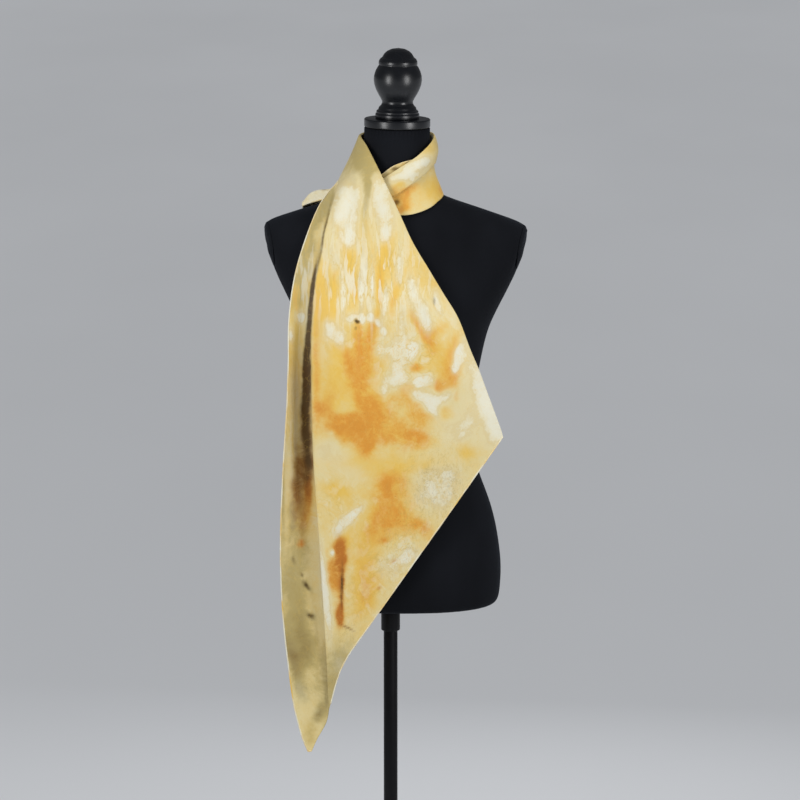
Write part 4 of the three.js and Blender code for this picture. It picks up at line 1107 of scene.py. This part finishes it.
    weave = arithmetic(tree, "ADD", slubs, product(threads, 0.6))
    creases = clouds(tree, place, 26, 4, 0.55, stretch=(1, 1, 0.6), shift=(9, 4, 2))
    coarse = shader_node(tree, "ShaderNodeBump", {"Strength": 0.22, "Distance": 0.004, "Height": creases})
    bump = shader_node(
        tree,
        "ShaderNodeBump",
        {"Strength": 0.2, "Distance": 0.0002, "Height": weave, "Normal": coarse.outputs[0]},
    )
    link(tree, bump.outputs[0], surface.inputs["Normal"])
    return material


def hem_silk():
    """The rolled hem: the same silk, paler where the roll took less dye."""
    silk = settings("scarf_silk")
    material, tree, surface = new_material("hem_silk")
    place = shader_node(tree, "ShaderNodeTexCoord").outputs["Object"]
    patches = ramp(tree, clouds(tree, place, 24, 3), 0.4, 0.7)
    colour = blended(tree, patches, tuple(silk.resist), tuple(silk.gold))
    link(tree, colour, surface.inputs["Base Color"])
    surface.inputs["Roughness"].default_value = 0.55
    surface.inputs["Sheen Weight"].default_value = 0.2
    twist = clouds(tree, place, 900, 2, 0.5)
    bump = shader_node(tree, "ShaderNodeBump", {"Strength": 0.3, "Distance": 0.0004, "Height": twist})
    link(tree, bump.outputs[0], surface.inputs["Normal"])
    return material


def silk_thread():
    """Cream sewing silk."""
    material, tree, surface = new_material("silk_thread")
    place = shader_node(tree, "ShaderNodeTexCoord").outputs["Object"]
    colour = blended(tree, clouds(tree, place, 60, 2), (0.70, 0.60, 0.36), (0.82, 0.76, 0.55))
    link(tree, colour, surface.inputs["Base Color"])
    surface.inputs["Roughness"].default_value = 0.5
    return material


def black_velvet():
    """Short black pile that goes paler at a glancing angle, brushed in patches."""
    form = settings("scarf_form")
    material, tree, surface = new_material("black_velvet")
    place = shader_node(tree, "ShaderNodeTexCoord").outputs["Object"]
    brushed = ramp(tree, clouds(tree, place, 6, 3, 0.55, stretch=(1, 1, 0.4)), 0.35, 0.7)
    lighter = tuple(1.9 * c for c in form.velvet)
    colour = blended(tree, brushed, tuple(form.velvet), lighter)
    pile = clouds(tree, place, 1500, 2, 0.6)
    colour = blended(tree, arithmetic(tree, "MULTIPLY", ramp(tree, pile, 0.5, 0.75), 0.35), colour, lighter)
    link(tree, colour, surface.inputs["Base Color"])
    surface.inputs["Roughness"].default_value = 0.95
    surface.inputs["Specular IOR Level"].default_value = 0.12
    surface.inputs["Sheen Weight"].default_value = 0.09
    surface.inputs["Sheen Roughness"].default_value = 0.35
    surface.inputs["Sheen Tint"].default_value = (*form.velvet_sheen, 1)
    bump = shader_node(tree, "ShaderNodeBump", {"Strength": 0.35, "Distance": 0.0006, "Height": pile})
    link(tree, bump.outputs[0], surface.inputs["Normal"])
    return material


def black_lacquer():
    """Satin lacquer over turned wood, with faint turning lines and dust."""
    form = settings("scarf_form")
    material, tree, surface = new_material("black_lacquer")
    place = shader_node(tree, "ShaderNodeTexCoord").outputs["Object"]
    dust = ramp(tree, clouds(tree, place, 55, 5, 0.65), 0.5, 0.85)
    colour = blended(tree, dust, tuple(form.lacquer), tuple(2.2 * c for c in form.lacquer))
    link(tree, colour, surface.inputs["Base Color"])
    rough = ramp(tree, clouds(tree, place, 30, 4), 0.3, 0.75, 0.27, 0.36)
    link(tree, rough, surface.inputs["Roughness"])
    surface.inputs["Specular IOR Level"].default_value = 0.5
    surface.inputs["Coat Weight"].default_value = 0.15
    surface.inputs["Coat Roughness"].default_value = 0.3
    lines = clouds(tree, place, 420, 2, 0.5, stretch=(0.05, 0.05, 1))
    bump = shader_node(tree, "ShaderNodeBump", {"Strength": 0.12, "Distance": 0.0004, "Height": lines})
    link(tree, bump.outputs[0], surface.inputs["Normal"])
    return material


def powder_coat():
    """Fine-grained black powder coat, slightly worn."""
    form = settings("scarf_form")
    material, tree, surface = new_material("powder_coat")
    place = shader_node(tree, "ShaderNodeTexCoord").outputs["Object"]
    wear = ramp(tree, clouds(tree, place, 18, 5, 0.65), 0.45, 0.8)
    colour = blended(tree, wear, tuple(form.steel), tuple(1.8 * c for c in form.steel))
    link(tree, colour, surface.inputs["Base Color"])
    rough = ramp(tree, clouds(tree, place, 40, 4), 0.3, 0.75, 0.38, 0.52)
    link(tree, rough, surface.inputs["Roughness"])
    surface.inputs["Specular IOR Level"].default_value = 0.2
    grain = clouds(tree, place, 1400, 2, 0.5)
    bump = shader_node(tree, "ShaderNodeBump", {"Strength": 0.25, "Distance": 0.0003, "Height": grain})
    link(tree, bump.outputs[0], surface.inputs["Normal"])
    return material


def material_named(name):
    """One of this object's materials, made when it is first asked for."""
    makers = {
        "dyed_silk": dyed_silk,
        "hem_silk": hem_silk,
        "silk_thread": silk_thread,
        "black_velvet": black_velvet,
        "black_lacquer": black_lacquer,
        "powder_coat": powder_coat,
    }
    return bpy.data.materials.get(name) or makers[name]()


def merged_copy(node, name):
    """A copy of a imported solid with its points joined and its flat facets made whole."""
    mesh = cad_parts[node].data.copy()
    mesh.name = name
    work = bmesh.new()
    work.from_mesh(mesh)
    bmesh.ops.remove_doubles(work, verts=work.verts, dist=0.002 * MM)
    bmesh.ops.dissolve_limit(
        work,
        angle_limit=math.radians(0.3),
        verts=[],
        edges=[e for e in work.edges if e.is_manifold],
    )
    for face in work.faces:
        face.smooth = True
    work.to_mesh(mesh)
    work.free()
    mesh.materials.clear()
    piece = bpy.data.objects.new(name, mesh)
    bpy.context.scene.collection.objects.link(piece)
    return piece


def velvet_cover(node, name, levels, sharp=math.radians(32)):
    """A smooth velvet skin in place of a faceted solid, with its cut edges kept."""
    piece = merged_copy(node, name)
    work = bmesh.new()
    work.from_mesh(piece.data)
    crease = work.edges.layers.float.new("crease_edge")
    for edge in work.edges:
        if len(edge.link_faces) == 2 and edge.calc_face_angle() > sharp:
            edge[crease] = 0.85
    work.to_mesh(piece.data)
    work.free()
    smooth = piece.modifiers.new("Smooth", "SUBSURF")
    smooth.levels = smooth.render_levels = levels
    return piece


def turned_profile(node):
    """Radius and height pairs of a turned solid along its axis, in order, and the axis as a matrix."""
    low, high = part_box(node)
    lean = FORM_LEAN if low.z > FORM_FOOT else 0.0
    to_row = Matrix.Translation((0, 0, FORM_FOOT)) @ Matrix.Rotation(lean, 4, "Y")
    to_axis = to_row.inverted()
    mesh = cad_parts[node].data
    found = []
    keys = []
    for vertex in mesh.vertices:
        local = to_axis @ vertex.co
        place = (math.hypot(local.x, local.y), local.z)
        near = next((i for i, key in enumerate(found) if math.dist(key, place) < 0.08 * MM), None)
        if near is None:
            near = len(found)
            found.append(place if place[0] > 0.1 * MM else (0.0, place[1]))
        keys.append(found[near])
    beside = {}
    for edge in mesh.edges:
        a, b = (keys[i] for i in edge.vertices)
        if a != b:
            beside.setdefault(a, set()).add(b)
            beside.setdefault(b, set()).add(a)
    ends = sorted(k for k, others in beside.items() if len(others) == 1)
    start = min(ends, key=lambda k: k[1]) if ends else min(beside)
    path, last = [start], None
    while True:
        ahead = [k for k in sorted(beside[path[-1]]) if k != last and k not in path[1:-1]]
        if not ahead or ahead[0] == start:
            break
        last = path[-1]
        path.append(ahead[0])
    return path, to_row


def rounded(path, closed, radius=0.6 * MM):
    """A profile with each sharp corner turned into a small arc of three points."""
    made = []
    count = len(path)
    for i, (r, z) in enumerate(path):
        here = Vector((r, z))
        if not closed and i in (0, count - 1):
            made.append((r, z))
            continue
        before = Vector(path[i - 1]) - here
        after = Vector(path[(i + 1) % count]) - here
        bend = math.pi - before.angle(after, math.pi)
        if bend < math.radians(14):
            made.append((r, z))
            continue
        cut = min(radius, before.length * 0.4, after.length * 0.4)
        one, two = here + before.normalized() * cut, here + after.normalized() * cut
        middle = (one + two + 2 * here) / 4
        made += [tuple(one), tuple(middle), tuple(two)]
    return made


def turned_piece(node, name, sides=96):
    """A turned piece spun again from its solid's own profile, with rounded corners."""
    path, to_row = turned_profile(node)
    closed = path[0][0] > 1e-5
    profile = rounded(path, closed)
    rings = []
    vertices = []
    for r, z in profile:
        if r < 1e-5:
            rings.append([len(vertices)] * sides)
            vertices.append(to_row @ Vector((0, 0, z)))
            continue
        rings.append(list(range(len(vertices), len(vertices) + sides)))
        for i in range(sides):
            angle = 2 * math.pi * i / sides
            vertices.append(to_row @ Vector((r * math.cos(angle), r * math.sin(angle), z)))
    faces = []
    pairs = list(zip(rings, rings[1:]))
    if closed:
        pairs.append((rings[-1], rings[0]))
    for below, above in pairs:
        for i in range(sides):
            j = (i + 1) % sides
            corner = [below[i], below[j], above[j], above[i]]
            face = list(dict.fromkeys(corner))
            if len(face) > 2:
                faces.append(face)
    piece = mesh_object(name, vertices, faces)
    work = bmesh.new()
    work.from_mesh(piece.data)
    bmesh.ops.recalc_face_normals(work, faces=work.faces)
    work.to_mesh(piece.data)
    work.free()
    return piece


def hem_tube(name, path, radius, sides=8):
    """A rolled hem along a path, a little uneven, with closed ends."""
    tangent = unit(np.gradient(path, axis=0))
    side = np.zeros_like(path)
    side[0] = unit(np.cross(tangent[0], [0.3, 1.0, 0.2]))
    for i in range(1, len(path)):
        side[i] = unit(side[i - 1] - tangent[i] * np.dot(side[i - 1], tangent[i]))
    up = np.cross(tangent, side)
    plump = radius * (1 + 0.16 * ripple(path, 0.012, 2.6))
    angles = np.linspace(0, 2 * np.pi, sides, endpoint=False)
    rings = path[:, None] + plump[:, None, None] * (
        side[:, None] * np.cos(angles)[None, :, None] + up[:, None] * np.sin(angles)[None, :, None]
    )
    rows = len(path)
    index = np.arange(rows * sides).reshape(rows, sides)
    turned = np.roll(index, -1, axis=1)
    faces = np.stack([index[:-1], turned[:-1], turned[1:], index[1:]], -1).reshape(-1, 4)
    caps = [list(index[0][::-1]), list(index[-1])]
    return mesh_object(name, rings.reshape(-1, 3), [*faces.tolist(), *caps])


def even_path(points, step=2.0 * MM):
    """Points of a path at even steps."""
    lengths = np.concatenate([[0], np.cumsum(np.linalg.norm(np.diff(points, axis=0), axis=1))])
    places = np.linspace(0, lengths[-1], max(int(lengths[-1] / step), 4))
    return np.stack([np.interp(places, lengths, points[:, k]) for k in range(3)], -1)


def stitch_tree(material):
    """Geometry nodes that set small slanting stitches along a path at an even spacing."""
    tree = bpy.data.node_groups.new("Hem stitches", "GeometryNodeTree")
    tree.interface.new_socket("Geometry", in_out="INPUT", socket_type="NodeSocketGeometry")
    made = {}
    for name, kind, low in (("Spacing", "NodeSocketFloat", 0.001), ("Length", "NodeSocketFloat", 0.0005),
                            ("Thickness", "NodeSocketFloat", 0.0001), ("Seed", "NodeSocketInt", 0)):
        socket = tree.interface.new_socket(name, in_out="INPUT", socket_type=kind)
        socket.min_value = low
        made[name] = socket.identifier
    tree.interface.new_socket("Geometry", in_out="OUTPUT", socket_type="NodeSocketGeometry")
    given = tree.nodes.new("NodeGroupInput").outputs
    points = shader_node(tree, "GeometryNodeMeshToCurve", {"Mesh": given["Geometry"]})
    even = shader_node(
        tree, "GeometryNodeCurveToPoints", {"Curve": points.outputs[0], "Length": given["Spacing"]}, mode="LENGTH"
    )
    slant = shader_node(
        tree,
        "FunctionNodeRandomValue",
        {"Seed": given["Seed"]},
        data_type="FLOAT",
    )
    slant.inputs[2].default_value = 0.35
    slant.inputs[3].default_value = 0.75
    euler = shader_node(tree, "ShaderNodeCombineXYZ", {"X": slant.outputs[1]})
    turned = shader_node(tree, "FunctionNodeRotateRotation", {"Rotation": even.outputs["Rotation"]})
    turned.rotation_space = "LOCAL"
    link(tree, euler.outputs[0], turned.inputs["Rotate By"])
    bead = shader_node(tree, "GeometryNodeMeshIcoSphere", {"Radius": 0.5, "Subdivisions": 1})
    size = shader_node(
        tree, "ShaderNodeCombineXYZ", {"X": given["Thickness"], "Y": given["Thickness"], "Z": given["Length"]}
    )
    sized = shader_node(tree, "GeometryNodeTransform", {"Geometry": bead.outputs[0], "Scale": size.outputs[0]})
    copies = shader_node(
        tree,
        "GeometryNodeInstanceOnPoints",
        {"Points": even.outputs[0], "Instance": sized.outputs[0], "Rotation": turned.outputs[0]},
    )
    real = shader_node(tree, "GeometryNodeRealizeInstances", {"Geometry": copies.outputs[0]})
    painted = shader_node(tree, "GeometryNodeSetMaterial", {"Geometry": real.outputs[0], "Material": material})
    out = tree.nodes.new("NodeGroupOutput")
    link(tree, painted.outputs[0], out.inputs["Geometry"])
    return tree, made


def hem_stitches(name, path):
    """Stitches along a path, as a plain mesh."""
    silk = settings("scarf_silk")
    thread = material_named("silk_thread")
    tree, sockets = stitch_tree(thread)
    guide_mesh = bpy.data.meshes.new(f"{name}_path")
    guide_mesh.from_pydata([tuple(p) for p in path], [(i, i + 1) for i in range(len(path) - 1)], [])
    guide = bpy.data.objects.new(f"{name}_path", guide_mesh)
    bpy.context.scene.collection.objects.link(guide)
    nodes = guide.modifiers.new("Stitches", "NODES")
    nodes.node_group = tree
    sizes = {"Spacing": silk.stitch_spacing, "Length": 2.4 * MM, "Thickness": 0.5 * MM, "Seed": 11}
    for label, value in sizes.items():
        nodes[sockets[label]] = value
    evaluated = guide.evaluated_get(bpy.context.evaluated_depsgraph_get())
    mesh = bpy.data.meshes.new_from_object(evaluated)
    mesh.name = name
    if not mesh.polygons:
        raise RuntimeError(f"{name} has no stitches")
    guide.modifiers.remove(nodes)
    bpy.data.objects.remove(guide)
    piece = bpy.data.objects.new(name, mesh)
    bpy.context.scene.collection.objects.link(piece)
    return finish_piece(piece, thread, "silk")


def hem(name, points, inward):
    """A rolled hem and its stitches along an edge; inward points into the cloth from the edge."""
    silk = settings("scarf_silk")
    path = even_path(points)
    tube = finish_piece(hem_tube(name, path, silk.hem_radius), material_named("hem_silk"), "silk")
    beside = even_path(points + unit(inward) * silk.hem_radius * 0.95)
    sewn = hem_stitches(f"{name}_stitches", beside)
    return [tube, sewn]


class SCARF_OT_stage(bpy.types.Operator):
    """Makes the pale floor, the soft light and the camera"""

    bl_idname = "scarf.stage"
    bl_label = "Stage and camera"

    def execute(self, context):
        stage = settings("scarf_stage")
        make_floor(stage)
        make_lights(stage)
        make_camera(stage)
        return {"FINISHED"}


def make_floor(stage, radius=60.0, sides=96):
    """A large pale disc under the stand."""
    work = bmesh.new()
    bmesh.ops.create_circle(work, cap_ends=True, segments=sides, radius=radius)
    mesh = bpy.data.meshes.new("studio_floor")
    work.to_mesh(mesh)
    work.free()
    floor = bpy.data.objects.new("studio_floor", mesh)
    bpy.context.scene.collection.objects.link(floor)
    material, tree, surface = new_material("studio_floor")
    place = shader_node(tree, "ShaderNodeTexCoord").outputs["Object"]
    mottled = ramp(tree, clouds(tree, place, 0.35, 4, 0.55, stretch=(1, 0.35, 1)), 0.3, 0.75)
    darker = tuple(0.93 * c for c in stage.floor)
    link(tree, blended(tree, mottled, darker, tuple(stage.floor)), surface.inputs["Base Color"])
    surface.inputs["Roughness"].default_value = 0.9
    surface.inputs["Specular IOR Level"].default_value = 0.1
    mesh.materials.append(material)


def make_lights(stage):
    """Tall softboxes in front, a weaker one behind, a broad light from above and a pale surround."""
    bpy.context.scene.view_settings.view_transform = "Standard"
    world = bpy.data.worlds.new("studio")
    world.use_nodes = True
    world.node_tree.nodes["Background"].inputs["Color"].default_value = (0.92, 0.95, 1.0, 1)
    world.node_tree.nodes["Background"].inputs["Strength"].default_value = stage.surround
    bpy.context.scene.world = world
    sun = bpy.data.lights.new("ceiling", "SUN")
    sun.energy = stage.ceiling
    sun.angle = math.radians(60)
    lamp = bpy.data.objects.new("ceiling", sun)
    lamp.rotation_euler = (math.radians(10), 0, math.radians(8))
    lamp.visible_glossy = False
    bpy.context.scene.collection.objects.link(lamp)
    Softbox = namedtuple("Softbox", "name azimuth height distance width tall share")
    for box in (
        Softbox("softbox_right", 45, 1.6, 1.75, 0.5, 1.1, 1.0),
        Softbox("softbox_left", -45, 1.6, 1.75, 0.5, 1.1, 0.95),
        Softbox("softbox_back", 172, 1.6, 2.3, 0.9, 1.2, 0.8),
    ):
        light = bpy.data.lights.new(box.name, "AREA")
        light.shape = "RECTANGLE"
        light.size, light.size_y = box.width, box.tall
        light.energy = stage.softbox_power * box.share
        lamp = bpy.data.objects.new(box.name, light)
        angle = math.radians(box.azimuth)
        lamp.location = (box.distance * math.sin(angle), -box.distance * math.cos(angle), box.height)
        aim = Vector((0, 0, 1.4)) - lamp.location
        lamp.rotation_euler = aim.to_track_quat("-Z", "Y").to_euler()
        lamp.visible_camera = False
        lamp.visible_glossy = box.azimuth < 90
        bpy.context.scene.collection.objects.link(lamp)


def make_camera(stage):
    """The photograph's view, from a little above."""
    data = bpy.data.cameras.new("camera")
    data.lens = stage.lens
    camera = bpy.data.objects.new("camera", data)
    target = Vector(stage.target)
    back = Vector((0, -math.cos(stage.elevation), math.sin(stage.elevation)))
    camera.location = target + back * stage.distance
    camera.rotation_euler = (-back).to_track_quat("-Z", "Y").to_euler()
    data.clip_end = 200
    bpy.context.scene.collection.objects.link(camera)
    bpy.context.scene.camera = camera


class SCARF_OT_form(bpy.types.Operator):
    """Covers the dress form and its arm plates with velvet"""

    bl_idname = "scarf.form"
    bl_label = "Velvet form"

    def execute(self, context):
        velvet = material_named("black_velvet")
        body = velvet_cover("form_body", "velvet_body", 1)
        finish_piece(body, velvet, "velvet", "form_body")
        for side in ("left", "right"):
            plate = velvet_cover(f"arm_plate_{side}", f"velvet_arm_plate_{side}", 2)
            finish_piece(plate, velvet, "velvet", f"arm_plate_{side}")
        return {"FINISHED"}


class SCARF_OT_neck_piece(bpy.types.Operator):
    """Turns the lacquered neck cap and its finial"""

    bl_idname = "scarf.neck_piece"
    bl_label = "Neck cap and finial"

    def execute(self, context):
        lacquer = material_named("black_lacquer")
        for node in ("neck_cap", "finial"):
            finish_piece(turned_piece(node, f"lacquered_{node}"), lacquer, "lacquer", node)
        return {"FINISHED"}


class SCARF_OT_stand(bpy.types.Operator):
    """Turns the socket, the pole and the base"""

    bl_idname = "scarf.stand"
    bl_label = "Stand"

    def execute(self, context):
        coat = material_named("powder_coat")
        for node in ("form_socket", "stand_pole", "stand_base"):
            finish_piece(turned_piece(node, f"coated_{node}"), coat, "steel", node)
        return {"FINISHED"}


class SCARF_OT_front_fall(bpy.types.Operator):
    """Hangs the front panel, its turned edge and the side fold"""

    bl_idname = "scarf.front_fall"
    bl_label = "Front fall"

    def execute(self, context):
        silk = material_named("dyed_silk")
        side = side_grid()
        fall = fall_grid(side)
        turned = return_grid()
        side_hem = side[:, :56]
        hems = {
            "side_fold": hem("hem_left", np.concatenate([side_hem[:, 0], side_hem[-1, 1:]]),
                             np.concatenate([side_hem[:, 1] - side_hem[:, 0], side_hem[-2, 1:] - side_hem[-1, 1:]])),
            "front_panel": hem("hem_lower", fall[-1, 17:125], fall[-2, 17:125] - fall[-1, 17:125]),
        }
        for node, grid in (("side_fold", side), ("front_panel", fall), ("edge_return", turned)):
            piece = finish_piece(cloth_piece(f"silk_{node}", grid, POOLS), silk, "silk", node)
            if node == "front_panel":
                # Painted shade in the pleat behind the fall's left fold.
                paint_crease_shade(piece.data, grid)
        return {"FINISHED"}


class SCARF_OT_neck_wrap(bpy.types.Operator):
    """Winds the band, the roll and the inner turn round the neck"""

    bl_idname = "scarf.neck_wrap"
    bl_label = "Neck wrap"

    def execute(self, context):
        silk = material_named("dyed_silk")
        grids = {"neck_band": band_grid(), "neck_roll": roll_grid(), "inner_turn": inner_grid()}
        inner = grids["inner_turn"]
        hems = {"inner_turn": hem("hem_inner", inner[:, 0], inner[:, 1] - inner[:, 0])}
        for node, grid in grids.items():
            turn, height = neck_places(grid)
            pools = INNER_POOLS if node == "inner_turn" else NECK_POOLS
            piece = cloth_piece(f"silk_{node}", grid, pools, turn, height)
            finish_piece(piece, silk, "silk", node)
        return {"FINISHED"}


class SCARF_OT_shoulder_tail(bpy.types.Operator):
    """Lays the end over the shoulder"""

    bl_idname = "scarf.shoulder_tail"
    bl_label = "Shoulder end"

    def execute(self, context):
        grid = tail_grid()
        piece = cloth_piece("silk_shoulder_tail", grid, TAIL_POOLS)
        finish_piece(piece, material_named("dyed_silk"), "silk", "shoulder_tail")
        edge = np.concatenate([grid[0, :-1], grid[:-1, -1], grid[-1, ::-1]])
        within = np.concatenate([grid[1, :-1], grid[:-1, -2], grid[-2, ::-1]])
        hems = hem("hem_tail", edge, within - edge)
        return {"FINISHED"}


OPERATORS = (
    SCARF_OT_stage,
    SCARF_OT_form,
    SCARF_OT_neck_piece,
    SCARF_OT_stand,
    SCARF_OT_front_fall,
    SCARF_OT_neck_wrap,
    SCARF_OT_shoulder_tail,
)


class SCARF_PT_panel(bpy.types.Panel):
    """Lists the steps that build the scarf and its form"""

    bl_idname = "SCARF_PT_panel"
    bl_label = "Silk square"
    bl_space_type = "VIEW_3D"
    bl_region_type = "UI"
    bl_category = "Silk square"

    def draw(self, context):
        for group in ("scarf_silk", "scarf_form", "scarf_stage"):
            box = self.layout.box()
            values = getattr(context.scene, group)
            for name in values.__annotations__:
                box.prop(values, name)
        for operator in OPERATORS:
            self.layout.operator(operator.bl_idname)


GROUPS = {
    "scarf_silk": ScarfSilkSettings,
    "scarf_form": ScarfFormSettings,
    "scarf_stage": ScarfStageSettings,
}


def register():
    """Registers the settings, the operators and the panel."""
    for name, group in GROUPS.items():
        bpy.utils.register_class(group)
        setattr(bpy.types.Scene, name, bpy.props.PointerProperty(type=group))
    for operator in OPERATORS:
        bpy.utils.register_class(operator)
    bpy.utils.register_class(SCARF_PT_panel)


def unregister():
    """Takes them all out again."""
    bpy.utils.unregister_class(SCARF_PT_panel)
    for operator in reversed(OPERATORS):
        bpy.utils.unregister_class(operator)
    for name, group in reversed(GROUPS.items()):
        delattr(bpy.types.Scene, name)
        bpy.utils.unregister_class(group)


def main():
    """Builds every piece in order."""
    register()
    for operator in OPERATORS:
        step = getattr(bpy.ops.scarf, operator.bl_idname.split(".")[1])
        if step() != {"FINISHED"}:
            raise RuntimeError(f"{operator.bl_label} was not finished")


if __name__ == "__main__":
    main()
